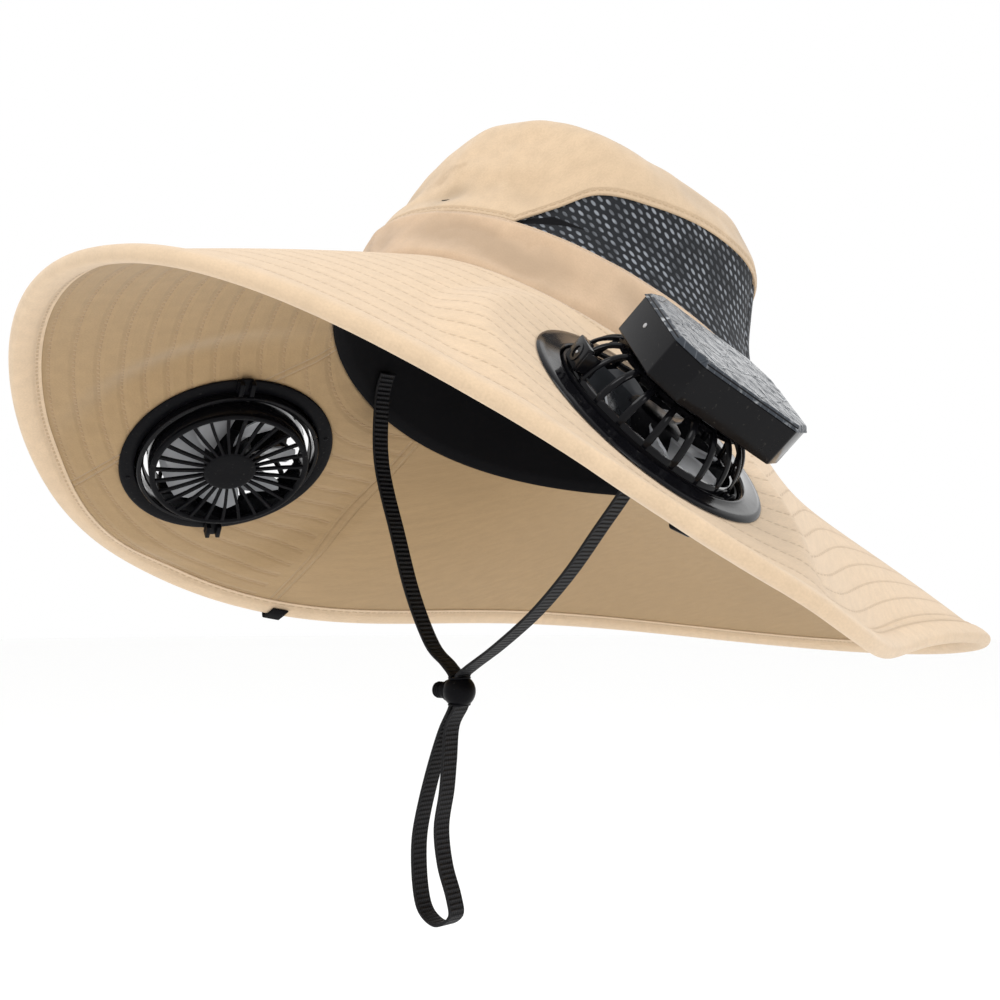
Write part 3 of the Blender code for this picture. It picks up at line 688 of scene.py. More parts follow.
@dataclass(frozen=True)
class ClothFinish:
    """Woven cloth with its sewing, read from the piece's UV maps in metres."""

    name: str
    colour: Colour
    thread_colour: Colour
    sewing: Sewing = Sewing.PLAIN
    pitch: float = 0.0007
    roughness: float = 0.88
    sheen: float = 0.25
    row_spacing: float = 0.0100
    stitch_length: float = 0.0030
    thread: float = 0.0008
    groove: float = 0.0026
    thread_tone: float = 0.45
    # Share of painted shade laid in the stitch grooves, towards the thread colour.
    painted_groove_shade: float = 0.16
    dip: float = 0.45
    # Strength of the painted shade that darkens the cloth in its folds.
    folds: float = 0.0
    seams: tuple[Seam, ...] = (Seam(50, 57), Seam(94, 98))
    stain: float = 0.25

    def build(self) -> bpy.types.Material:
        """Make the material."""
        material, graph, shader = blank(self.name)
        metres = graph.add("ShaderNodeUVMap", uv_map="metres").outputs[0]
        place = graph.add("ShaderNodeTexCoord").outputs["Object"]
        weave = graph.effect(Effects.weave(), vector=metres, pitch=self.pitch)
        wear = graph.effect(Effects.wear(), vector=place)
        threads = graph.spread(weave["Tone"], 0.3, 0.7)
        tone = graph.mix(threads, opaque(self.colour, 0.90), opaque(self.colour, 1.05))
        handled = graph.times(graph.spread(wear["Tone"], 0.35, 0.7), 0.35)
        tone = graph.mix(handled, tone, opaque(self.colour, 0.88))
        tone = graph.mix(graph.times(wear["Stain"], self.stain), tone, opaque(self.thread_colour, 0.9))
        height = graph.times(weave["Height"], 0.07)
        for mask, dip in self.rows(graph, metres):
            tone = graph.mix(graph.times(mask, self.thread_tone), tone, opaque(self.thread_colour))
            # Painted shade: the grooves of the stitches and the strips beside the seams are darkened towards
            # the thread colour.
            tone = graph.mix(graph.times(dip, self.painted_groove_shade), tone, opaque(self.thread_colour))
            sunk = graph.minus(graph.times(mask, 0.20), graph.times(dip, self.dip))
            height = graph.plus(height, sunk)
        if self.folds > 0.0:
            # Painted shade: the cloth darkens towards 0.55 of its colour where its folds are deep.
            depth, _, _ = graph.split(graph.add("ShaderNodeUVMap", uv_map="folds").outputs[0])
            shade = graph.times(graph.spread(depth, 0.0, 1.0), self.folds)
            tone = graph.mix(shade, tone, opaque(self.colour, 0.55))
        graph.emboss(shader, height, 0.85)
        graph.dress(shader, {
            "Base Color": tone,
            "Roughness": self.roughness,
            "Sheen Weight": self.sheen,
            "Specular IOR Level": 0.12,
        })
        return material

    def rows(self, graph: Graph, metres: bpy.types.NodeSocket) -> list[tuple]:
        """Stitch rows of this cloth.

        Args:
            graph: the material's graph.
            metres: UV map with metres along and across the cloth.

        Returns:
            Pairs of a mask of the threads and a mask of their groove.
        """
        if self.sewing is Sewing.PLAIN:
            return []
        along, across, _ = graph.split(metres)
        if self.sewing in (Sewing.BOUND, Sewing.TOPSTITCHED):
            return [self.run(graph, across, along)]
        turns = graph.math("FRACT", graph.over(across, self.row_spacing))
        off = graph.times(graph.minus(turns, 0.5), self.row_spacing)
        mask, dip = self.run(graph, off, along)
        if self.sewing is Sewing.QUILTED:
            return [(mask, dip)]
        panel = graph.add("ShaderNodeUVMap", uv_map="panels").outputs[0]
        share, reach, _ = graph.split(panel)
        turn = graph.absolute(graph.times(graph.minus(share, 0.5), math.tau))
        inside = graph.math("LESS_THAN", turn, math.radians(self.seams[-1].inner_turn))
        found = [(graph.times(mask, inside), graph.times(dip, inside))]
        for seam in self.seams:
            start, end = math.radians(seam.inner_turn), math.radians(seam.outer_turn)
            lies = graph.add("ShaderNodeMapRange")
            for socket, value in zip(lies.inputs, (reach, 0.095, 0.205, start, end)):
                graph.feed(socket, value)
            apart = graph.times(graph.minus(turn, lies.outputs[0]), reach)
            ridge = graph.fading(graph.absolute(apart), 0.0002, 0.0009)
            # The strips beside each seam go back as groove masks, so they take the painted groove shade.
            beside = graph.minus(graph.absolute(apart), 0.0016)
            edge = graph.fading(graph.absolute(beside), 0.0002, 0.0008)
            found.append((graph.times(ridge, 0.5), edge))
        return found

    def run(self, graph: Graph, across: object, along: object) -> tuple:
        """One run of stitches as a pair of its thread mask and its groove mask."""
        made = graph.effect(Effects.stitch(), across=across, along=along, length=self.stitch_length,
                            thread=self.thread, groove=self.groove)
        return made["Mask"], made["Dip"]


@dataclass(frozen=True)
class MeshFinish:
    """Black spacer mesh with rows of oval holes, painted on with the light that shows through them."""

    name: str = "vent_mesh"
    pitch: float = 0.0042
    thread: Colour = (0.004, 0.005, 0.007)
    # Painted light: the grey that the holes show in place of the light seen through them.
    painted_hole_light: Colour = (0.25, 0.27, 0.30)

    def build(self) -> bpy.types.Material:
        """Make the material."""
        material, graph, shader = blank(self.name)
        metres = graph.add("ShaderNodeUVMap", uv_map="metres").outputs[0]
        across, along, _ = graph.split(metres)
        up = graph.over(along, self.pitch * 0.80)
        sideways = graph.plus(graph.over(across, self.pitch), graph.times(up, 0.5))
        sheared = graph.add("ShaderNodeCombineXYZ")
        graph.feed(sheared.inputs[0], sideways)
        graph.feed(sheared.inputs[1], up)
        cells = graph.add("ShaderNodeTexVoronoi", voronoi_dimensions="2D")
        cells.inputs["Randomness"].default_value = 0.12
        cells.inputs["Scale"].default_value = 1.0
        graph.feed(cells.inputs["Vector"], sheared.outputs[0])
        hole = graph.fading(cells.outputs["Distance"], 0.22, 0.36)
        light = graph.spread(graph.noise(metres, 90.0, 3.0), 0.35, 0.62, 0.25, 1.0)
        rib = graph.noise(metres, 1500.0, 2.0)
        tone = graph.mix(rib, opaque(self.thread, 0.6), opaque(self.thread, 2.4))
        # Painted light in the holes, varied by the noise.
        tone = graph.mix(graph.times(hole, light), tone, opaque(self.painted_hole_light))
        graph.emboss(shader, graph.minus(graph.times(rib, 0.15), graph.times(hole, 0.5)), 1.0)
        graph.dress(shader, {
            "Base Color": tone,
            "Roughness": 0.62,
            "Specular IOR Level": 0.25,
        })
        return material


@dataclass(frozen=True)
class WebbingFinish:
    """Black woven tape with ribs across it."""

    name: str = "strap_webbing"
    rib: float = 0.0021
    colour: Colour = (0.006, 0.006, 0.007)

    def build(self) -> bpy.types.Material:
        """Make the material."""
        material, graph, shader = blank(self.name)
        metres = graph.add("ShaderNodeUVMap", uv_map="metres").outputs[0]
        along, across, _ = graph.split(metres)
        rib = graph.math("SINE", graph.times(along, math.tau / self.rib))
        edge = graph.spread(graph.absolute(across), 0.0032, 0.0042)
        knit = graph.math("SINE", graph.times(across, math.tau / 0.0011))
        fuzz = graph.noise(metres, 1700.0, 2.0)
        ribs = graph.times(rib, graph.minus(1.0, edge))
        height = graph.plus(graph.times(ribs, 0.28), graph.times(knit, 0.06))
        height = graph.plus(height, graph.times(fuzz, 0.12))
        raised = graph.spread(height, -0.1, 0.4)
        tone = graph.mix(raised, opaque(self.colour, 0.6), opaque(self.colour, 3.0))
        graph.emboss(shader, height, 1.0)
        graph.dress(shader, {
            "Base Color": tone,
            "Roughness": 0.60,
            "Specular IOR Level": 0.20,
        })
        return material


@dataclass(frozen=True)
class PlasticFinish:
    """Moulded plastic, from satin to polished."""

    name: str
    colour: Colour
    roughness: float
    grain: float = 900.0
    bump: float = 0.04
    gloss: float = 0.3
    dust: float = 0.10

    def build(self) -> bpy.types.Material:
        """Make the material."""
        material, graph, shader = blank(self.name)
        place = graph.add("ShaderNodeTexCoord").outputs["Object"]
        made = graph.effect(Effects.moulding(), vector=place, grain=self.grain)
        dusty = graph.times(made["Dust"], self.dust)
        tone = graph.mix(dusty, opaque(self.colour), opaque((0.20, 0.19, 0.17)))
        tone = graph.mix(graph.times(made["Gloss"], 0.25), tone, opaque(self.colour, 1.6))
        graph.dress(shader, {
            "Base Color": tone,
        })
        low, high = max(self.roughness - 0.05, 0.03), self.roughness + 0.09
        graph.feed(shader.inputs["Roughness"], graph.spread(made["Gloss"], 0.35, 0.75, low, high))
        graph.emboss(shader, made["Height"], self.bump)
        shader.inputs["Specular IOR Level"].default_value = self.gloss
        return material


@dataclass(frozen=True)
class FilmFinish:
    """Dark solar cell under a wrinkled clear film, with painted highlights along its wrinkles."""

    name: str = "cell_film"
    cell: Colour = (0.030, 0.036, 0.045)
    # Pale grey painted on the wrinkles' ridges as painted highlight.
    crease: Colour = (0.46, 0.48, 0.50)
    finger: float = 0.0035

    def build(self) -> bpy.types.Material:
        """Make the material."""
        material, graph, shader = blank(self.name)
        metres = graph.add("ShaderNodeUVMap", uv_map="metres").outputs[0]
        across, along, _ = graph.split(metres)
        phase = graph.math("FRACT", graph.over(across, self.finger))
        finger = graph.math("LESS_THAN", phase, 0.09)
        warped = graph.add("ShaderNodeVectorMath", operation="ADD")
        bend = graph.add("ShaderNodeTexNoise")
        graph.feed(bend.inputs["Vector"], metres)
        bend.inputs["Scale"].default_value = 60.0
        shift = graph.add("ShaderNodeVectorMath", operation="SCALE")
        graph.feed(shift.inputs[0], bend.outputs["Color"])
        shift.inputs["Scale"].default_value = 0.012
        graph.feed(warped.inputs[0], metres)
        graph.feed(warped.inputs[1], shift.outputs[0])
        folds = graph.add("ShaderNodeTexVoronoi", voronoi_dimensions="2D", feature="DISTANCE_TO_EDGE")
        graph.feed(folds.inputs["Vector"], warped.outputs[0])
        folds.inputs["Scale"].default_value = 85.0
        ridge = graph.fading(folds.outputs["Distance"], 0.0, 0.075)
        fine = graph.noise(warped.outputs[0], 150.0, 3.0)
        # Painted highlights: pale streaks on the wrinkles' ridges, stronger near the film's edge, plus a
        # faint even haze.
        farthest = graph.math("MAXIMUM", graph.absolute(across), graph.absolute(along))
        edge = graph.spread(farthest, 0.0245, 0.0285)
        shine = graph.times(ridge, graph.spread(fine, 0.42, 0.60))
        strong = graph.plus(graph.times(edge, 0.45), 0.45)
        painted_glint_and_haze = graph.plus(graph.times(shine, strong), graph.times(fine, 0.06))
        tone = graph.mix(graph.times(finger, 0.35), opaque(self.cell), opaque((0.16, 0.17, 0.19)))
        # The painted highlights are mixed into the base colour.
        tone = graph.mix(painted_glint_and_haze, tone, opaque(self.crease))
        height = graph.plus(graph.times(ridge, 0.5), graph.times(fine, 0.6))
        graph.emboss(shader, height, 0.9)
        graph.dress(shader, {
            "Base Color": tone,
            "Roughness": 0.22,
            "IOR": 1.25,
            "Specular IOR Level": 0.35,
        })
        return material


SAND = (0.700, 0.530, 0.360)
SAND_CROWN = (0.640, 0.480, 0.320)
SAND_BAND = (0.630, 0.455, 0.305)
# Sand darkened as painted shade, for the brim's shaded underside; the cloth is the same as the top.
SAND_PAINTED_SHADE = (0.405, 0.275, 0.145)
SAND_THREAD = (0.36, 0.235, 0.13)
BLACK = (0.005, 0.005, 0.006)


class Wardrobe:
    """Every finish of the hat, each made a material once."""

    def __init__(self) -> None:
        """Build the materials."""
        self.brim_top = ClothFinish(
            "sand_brim_top", SAND, SAND_THREAD, Sewing.QUILTED,
            thread_tone=0.34, painted_groove_shade=0.05, dip=0.14, stain=0.04).build()
        # The underside carries painted shade: its sand colour is darkened for the shadow under the brim.
        self.brim_under = ClothFinish(
            "sand_brim_under", SAND_PAINTED_SHADE, SAND_THREAD, Sewing.PANELLED, thread_tone=0.40, stain=0.03).build()
        self.binding = ClothFinish(
            "sand_binding", SAND, SAND_THREAD, Sewing.BOUND, pitch=0.0006, stain=0.03).build()
        # The crown and the band carry painted shade in their folds.
        self.crown = ClothFinish(
            "sand_crown", SAND_CROWN, SAND_THREAD, Sewing.TOPSTITCHED,
            thread=0.0006, groove=0.0016, thread_tone=0.22, folds=0.55, stain=0.30).build()
        self.band = ClothFinish(
            "sand_band", SAND_BAND, SAND_THREAD, Sewing.TOPSTITCHED,
            thread=0.0006, groove=0.0014, thread_tone=0.18, folds=0.60, stain=0.20).build()
        self.lining = ClothFinish(
            "black_lining", BLACK, (0.012, 0.012, 0.013), sheen=0.0, stain=0.0).build()
        self.tab = ClothFinish(
            "black_tab", BLACK, (0.03, 0.03, 0.03), sheen=0.0, pitch=0.0009, stain=0.0).build()
        self.mesh = MeshFinish().build()
        self.webbing = WebbingFinish().build()
        self.polished = PlasticFinish(
            "polished_black", (0.004, 0.004, 0.005), 0.13, gloss=0.13, bump=0.02).build()
        self.satin = PlasticFinish(
            "satin_black", (0.003, 0.003, 0.004), 0.38, gloss=0.06, bump=0.10).build()
        # Shaded and lit copies of one blade: a dark top as painted shade and a grey underside as painted
        # light.
        self.blade = PlasticFinish(
            "dark_blade", (0.040, 0.043, 0.048), 0.20, gloss=0.30, bump=0.02, dust=0.05).build()
        self.blade_underside_painted_light = PlasticFinish(
            "grey_blade", (0.42, 0.43, 0.45), 0.35, gloss=0.20, bump=0.02, dust=0.05).build()
        self.steel = PlasticFinish(
            "bright_pin", (0.36, 0.36, 0.37), 0.30, gloss=0.50, bump=0.02, dust=0.05).build()
        self.film = FilmFinish().build()


# Mesh helpers

def bent_grid(columns: int, rows: int, point: PointOf, uv_maps: dict[str, UvOf]) -> bmesh.types.BMesh:
    """Bend a grid of faces to a surface, with UV maps, and weld the edges that meet.

    Args:
        columns: faces along the grid.
        rows: faces across the grid.
        point: place of the surface at two shares from 0 to 1.
        uv_maps: UV coordinates at the same two shares, by map name.

    Returns:
        The new bmesh.
    """
    bm = bmesh.new()
    layers = {name: bm.loops.layers.uv.new(name) for name in uv_maps}
    bmesh.ops.create_grid(bm, x_segments=columns, y_segments=rows, size=0.5)
    for vert in bm.verts:
        u, v = vert.co.x + 0.5, vert.co.y + 0.5
        for name, layer in layers.items():
            spot = uv_maps[name](u, v)
            for loop in vert.link_loops:
                loop[layer].uv = spot
        vert.co = point(u, v)
    bmesh.ops.remove_doubles(bm, verts=bm.verts, dist=WELD)
    return bm


def face_up(bm: bmesh.types.BMesh, upward: Callable[[Vector], Vector]) -> None:
    """Turn an open sheet's faces so that they point the way that is asked for."""
    vote = sum(1 if face.normal.dot(upward(face.calc_center_median())) > 0 else -1 for face in bm.faces)
    if vote < 0:
        bmesh.ops.reverse_faces(bm, faces=bm.faces)


def turned(profile: Iterable[tuple[float, float]], steps: int) -> bmesh.types.BMesh:
    """Turn a closed profile of radius and height about Z.

    Args:
        profile: corners of the profile, as radius and height.
        steps: steps of the full turn.

    Returns:
        The new bmesh.
    """
    bm = bmesh.new()
    corners = [bm.verts.new((radius, 0.0, height)) for radius, height in profile]
    for start, end in zip(corners, corners[1:]):
        bm.edges.new((start, end))
    if corners[0].co.x > 0.0:
        bm.edges.new((corners[-1], corners[0]))
    bmesh.ops.spin(bm, geom=list(bm.verts) + list(bm.edges), cent=(0, 0, 0), axis=(0, 0, 1),
                   angle=math.tau, steps=steps, use_merge=True)
    bmesh.ops.remove_doubles(bm, verts=bm.verts, dist=WELD)
    bmesh.ops.recalc_face_normals(bm, faces=bm.faces)
    return bm


def rounded(bm: bmesh.types.BMesh, edges: list[bmesh.types.BMEdge], offset: float, segments: int) -> None:
    """Bevel some edges of a bmesh.

    Args:
        bm: The bmesh that holds the edges.
        edges: The edges.
        offset: How far from the edge the bevel starts.
        segments: The faces across the bevel.
    """
    bmesh.ops.bevel(bm, geom=edges, offset=offset, segments=segments,
                    profile=0.5, affect="EDGES", material=-1)


def block(size: tuple[float, float, float], chamfer: float = 0.0, rounding: float = 0.0) -> bmesh.types.BMesh:
    """Make a box about the origin, with chamfered upright edges and rounded edges.

    Args:
        size: length, width and height.
        chamfer: cut of the upright edges.
        rounding: radius of all the edges that are left.

    Returns:
        The new bmesh.
    """
    bm = bmesh.new()
    bmesh.ops.create_cube(bm, size=1.0)
    bmesh.ops.scale(bm, vec=size, verts=bm.verts)
    if chamfer > 0.0:
        upright = [edge for edge in bm.edges
                   if abs((edge.verts[1].co - edge.verts[0].co).z) > 0.9 * edge.calc_length()]
        rounded(bm, upright, chamfer, 1)
    if rounding > 0.0:
        rounded(bm, list(bm.edges), rounding, 3)
    return bm


def rod(radius: float, start: float, end: float, sides: int = 32, rounding: float = 0.0) -> bmesh.types.BMesh:
    """Make a round rod along X, with rounded ends.

    Args:
        radius: the rod's radius.
        start: where it starts on X.
        end: where it ends on X.
        sides: how many sides it has.
        rounding: radius of its two end edges.

    Returns:
        The new bmesh.
    """
    bm = bmesh.new()
    middle = Matrix.Translation(((start + end) / 2, 0, 0)) @ Matrix.Rotation(math.pi / 2, 4, "Y")
    bmesh.ops.create_cone(bm, cap_ends=True, segments=sides, radius1=radius, radius2=radius,
                          depth=end - start, matrix=middle)
    if rounding > 0.0:
        rims = [edge for edge in bm.edges if any(len(face.verts) > 4 for face in edge.link_faces)]
        rounded(bm, rims, rounding, 3)
    return bm


def absorb(
    target: bmesh.types.BMesh,
    added: bmesh.types.BMesh,
    matrix: Matrix | None = None,
    slot: int | None = 0,
) -> None:
    """Add one bmesh to another, moved by a matrix, and free it.

    Args:
        target: the bmesh that grows.
        added: the bmesh that is added.
        matrix: move of the added one.
        slot: material slot of its faces, or None where they keep their own.
    """
    if matrix is not None:
        bmesh.ops.transform(added, matrix=matrix, verts=added.verts)
    if slot is not None:
        for face in added.faces:
            face.material_index = slot
    mesh = bpy.data.meshes.new("passing")
    added.to_mesh(mesh)
    added.free()
    target.from_mesh(mesh)
    bpy.data.meshes.remove(mesh)


def repeat_round(bm: bmesh.types.BMesh, count: int) -> None:
    """Repeat everything in a bmesh round Z."""
    first = list(bm.verts) + list(bm.edges) + list(bm.faces)
    for index in range(1, count):
        copy = bmesh.ops.duplicate(bm, geom=first)["geom"]
        verts = [item for item in copy if isinstance(item, bmesh.types.BMVert)]
        turning = Matrix.Rotation(math.tau * index / count, 3, "Z")
        bmesh.ops.rotate(bm, verts=verts, cent=(0, 0, 0), matrix=turning)


@dataclass(frozen=True)
class Piece:
    """What a finished piece is called, stands for and moves with."""

    name: str
    body: str
    slot: str
    stands_for: tuple[str, ...] = ()

    def deliver(
        self,
        bm: bmesh.types.BMesh,
        materials: Iterable[bpy.types.Material],
        matrix: Matrix | None = None,
        sharp: float = 40.0,
    ) -> bpy.types.Object:
        """Make the object, dress it, hide the solids it stands for and hang it on its body.

        Args:
            bm: the piece's mesh, which is freed.
            materials: materials of its slots.
            matrix: move from the piece's own frame to the world.
            sharp: angle in degrees past which an edge stays sharp.

        Returns:
            The new object.
        """
        if matrix is not None:
            bmesh.ops.transform(bm, matrix=matrix, verts=bm.verts)
        mesh = bpy.data.meshes.new(self.name)
        bm.to_mesh(mesh)
        bm.free()
        mesh.shade_smooth()
        mesh.set_sharp_from_angle(angle=math.radians(sharp))
        for material in materials:
            mesh.materials.append(material)
        made = bpy.data.objects.new(self.name, mesh)
        bpy.context.scene.collection.objects.link(made)
        if self.stands_for:
            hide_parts(*self.stands_for)
        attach(made, self.body)
        log.info("%s: %d faces", self.name, len(mesh.polygons))
        return made


def wall(made: bpy.types.Object, thickness: float, offset: float, under: int = 0, rim: int = 0) -> None:
    """Give an open sheet a wall, with other material slots for its back and rim."""
    step = made.modifiers.new("wall", "SOLIDIFY")
    step.thickness = thickness
    step.offset = offset
    step.material_offset = under
    step.material_offset_rim = rim


@dataclass(frozen=True)
class Studio:
    """Camera, pale floor and soft light."""

    azimuth: float = math.radians(44.91)
    elevation: float = math.radians(-5.98)
    roll: float = math.radians(0.10)
    distance: float = 0.6586
    lens: float = 55.15
    shift_right: float = -0.0499
    shift_up: float = -0.0982
    floor_drop: float = 0.30
    floor_radius: float = 9.0

    def build(self, lowest: float) -> None:
        """Set the camera, the floor, the sky and the lamps.

        Args:
            lowest: height of the hat's lowest point.
        """
        bpy.context.scene.view_settings.view_transform = "Standard"
        self.camera()
        self.floor(lowest - self.floor_drop)
        self.sky()
        self.lamp("key", (0.1, -1.2, 2.2), 1.2, 19.0)
        self.lamp("side", (1.9, -0.5, 0.9), 0.7, 6.0)
        self.lamp("behind", (-0.8, 1.8, 1.2), 1.6, 5.0)

    def camera(self) -> None:
        """Set the camera at the photograph's angle."""
        level = math.cos(self.elevation)
        place = self.distance * Vector((
            level * math.sin(self.azimuth), -level * math.cos(self.azimuth), math.sin(self.elevation)))
        data = bpy.data.cameras.new("camera")
        data.lens = self.lens
        data.shift_x = self.shift_right
        data.shift_y = self.shift_up
        data.clip_start = 0.01
        made = bpy.data.objects.new("camera", data)
        bpy.context.scene.collection.objects.link(made)
        aim = (-place).to_track_quat("-Z", "Y").to_matrix().to_4x4()
        made.matrix_world = Matrix.Translation(place) @ aim @ Matrix.Rotation(self.roll, 4, "Z")
        bpy.context.scene.camera = made

    def floor(self, height: float) -> None:
        """Lay the plain pale floor."""
        bm = bmesh.new()
        bmesh.ops.create_circle(bm, cap_ends=True, segments=96, radius=self.floor_radius)
        bmesh.ops.translate(bm, verts=bm.verts, vec=(0, 0, height))
        mesh = bpy.data.meshes.new("floor")
        bm.to_mesh(mesh)
        bm.free()
        material, _, shader = blank("pale_floor")
        shader.inputs["Base Color"].default_value = (0.98, 0.98, 0.975, 1.0)
        shader.inputs["Roughness"].default_value = 0.9
        mesh.materials.append(material)
        made = bpy.data.objects.new("floor", mesh)
        bpy.context.scene.collection.objects.link(made)
        made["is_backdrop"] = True

    def sky(self) -> None:
        """Set the even white light all round."""
        world = bpy.data.worlds.new("white_room")
        world.use_nodes = True
        back = world.node_tree.nodes["Background"]
        back.inputs["Color"].default_value = (1.0, 1.0, 1.0, 1.0)
        back.inputs["Strength"].default_value = 1.0
        bpy.context.scene.world = world

    def lamp(self, name: str, place: tuple[float, float, float], size: float, power: float) -> None:
        """Hang one soft lamp that faces the hat."""
        data = bpy.data.lights.new(name, "AREA")
        data.shape = "DISK"
        data.size = size
        data.energy = power
        made = bpy.data.objects.new(name, data)
        bpy.context.scene.collection.objects.link(made)
        aim = (-Vector(place)).to_track_quat("-Z", "Y").to_matrix().to_4x4()
        made.matrix_world = Matrix.Translation(place) @ aim


@dataclass(frozen=True)
class ChinStrap:
    """Webbing loop with its ball toggle, hung plumb in an upright plane."""

    width: float = 0.009
    wall: float = 0.0013
    turn_left: float = math.radians(83)
    turn_right: float = math.radians(-75)
    plane_offset: float = -0.0207
    steps: int = 6
    toggle_along: float = -0.0327
    toggle_height: float = -0.1232
    toggle_radius: float = 0.0070
    button_radius: float = 0.0033
    button_length: float = 0.0080
    button_reach: float = 0.0136

    def axes(self) -> tuple[Vector, Vector]:
        """Directions along and across the upright plane."""
        run = FORM.pose @ FORM.ring_point(self.turn_left) - FORM.pose @ FORM.ring_point(self.turn_right)
        along = Vector((run.x, run.y, 0)).normalized()
        return along, Vector((-along.y, along.x, 0))

    def route(self) -> list[Vector]:
        """Points on a smooth curve through the strap's own points."""
        along, across = self.axes()
        points = [along * row.along + across * self.plane_offset + UP * row.height for row in STRAP_ROUTE]
        route = []
        for index in range(len(points) - 1):
            before, start = points[max(index - 1, 0)], points[index]
            end, after = points[index + 1], points[min(index + 2, len(points) - 1)]
            for step in range(self.steps):
                t = step / self.steps
                route.append(0.5 * (2 * start + (end - before) * t
                                    + (2 * before - 5 * start + 4 * end - after) * t ** 2
                                    + (3 * start - before - 3 * end + after) * t ** 3))
        return route + [points[-1]]

    def build(self, wardrobe: Wardrobe) -> None:
        route = self.route()
        runs = [0.0]
        for start, end in zip(route, route[1:]):
            runs.append(runs[-1] + (end - start).length)
        strap = self.webbing(route, runs, wardrobe)
        ball = self.ball(wardrobe)
        button = self.button(wardrobe)
        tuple(route[0])

    def webbing(self, route: list[Vector], runs: list[float], wardrobe: Wardrobe) -> bpy.types.Object:
        """Make the flat tape along its route.

        Args:
            route: points that the tape follows.
            runs: length of the tape up to each point.
            wardrobe: the finishes.

        Returns:
            The tape's object.
        """
        _, across = self.axes()
        half, thick = self.width / 2, self.wall / 2
        selvedge = 0.0004
        section = (
            (-half, -thick * 0.45), (-half + selvedge, -thick),
            (half - selvedge, -thick), (half, -thick * 0.45),
            (half, thick * 0.45), (half - selvedge, thick),
            (-half + selvedge, thick), (-half, thick * 0.45))
        corners = len(section)

        def point(u: float, v: float) -> Vector:
            """Place of the tape's skin."""
            index = round(u * (len(route) - 1))
            run = (route[min(index + 1, len(route) - 1)] - route[max(index - 1, 0)]).normalized()
            wide, deep = section[round(v * corners) % corners]
            return route[index] + across * wide + run.cross(across).normalized() * deep

        def metres(u: float, v: float) -> tuple[float, float]:
            """Length along the tape and place across it."""
            return runs[round(u * (len(route) - 1))], section[round(v * corners) % corners][0]
        bm = bent_grid(len(route) - 1, corners, point, {"metres": metres})
        bmesh.ops.holes_fill(bm, edges=[edge for edge in bm.edges if edge.is_boundary])
        bmesh.ops.recalc_face_normals(bm, faces=bm.faces)
        return Piece("strap_webbing", "hat", "black_webbing", ("chin_strap",)).deliver(bm, [wardrobe.webbing])

    def toggle_frame(self) -> Matrix:
        """Frame of the toggle: X along the strap's plane, Z up."""
        along, across = self.axes()
        centre = along * self.toggle_along + across * self.plane_offset + UP * self.toggle_height
        return Matrix.Translation(centre) @ Matrix((along, across, UP)).transposed().to_4x4()

    def ball(self, wardrobe: Wardrobe) -> bpy.types.Object:
        """Make the ball with its collar and the lips of its slot."""
        bm = bmesh.new()
        bmesh.ops.create_uvsphere(bm, u_segments=48, v_segments=32, radius=self.toggle_radius)
        collar = turned(((self.button_radius + 0.0004, 0.0), (self.button_radius + 0.0013, 0.0),
                         (self.button_radius + 0.0013, 0.0022), (self.button_radius + 0.0004, 0.0026)), 40)
        spot = Matrix.Translation((-self.toggle_radius * 0.62, 0, 0))
        absorb(bm, collar, spot @ Matrix.Rotation(-math.pi / 2, 4, "Y"))
        for height in (-1, 1):
            lip = turned(((0.0030, -0.0004), (0.0043, -0.0004), (0.0045, 0.0003), (0.0032, 0.0006)), 40)
            bmesh.ops.scale(lip, vec=(1.0, 1.20, 1.0), verts=lip.verts)
            absorb(bm, lip, Matrix.Translation((0, 0, height * self.toggle_radius * 0.80)))
        piece = Piece("toggle_ball", "hat", "matte_black", ("toggle_body",))
        return piece.deliver(bm, [wardrobe.satin], self.toggle_frame())

    def button(self, wardrobe: Wardrobe) -> bpy.types.Object:
        """Make the sprung button with a ribbed head."""
        bm = rod(self.button_radius, -self.button_reach, self.button_length - self.button_reach, 40, 0.0007)
        for index in range(3):
            ring = turned(((self.button_radius - 0.0002, -0.0003), (self.button_radius + 0.00025, 0.0),
                           (self.button_radius - 0.0002, 0.0003)), 40)
            spot = Matrix.Translation((-self.button_reach + 0.0013 + 0.0012 * index, 0, 0))
            absorb(bm, ring, spot @ Matrix.Rotation(math.pi / 2, 4, "Y"))
        piece = Piece("toggle_press", "button", "matte_black", ("toggle_button",))
        return piece.deliver(bm, [wardrobe.satin], self.toggle_frame())


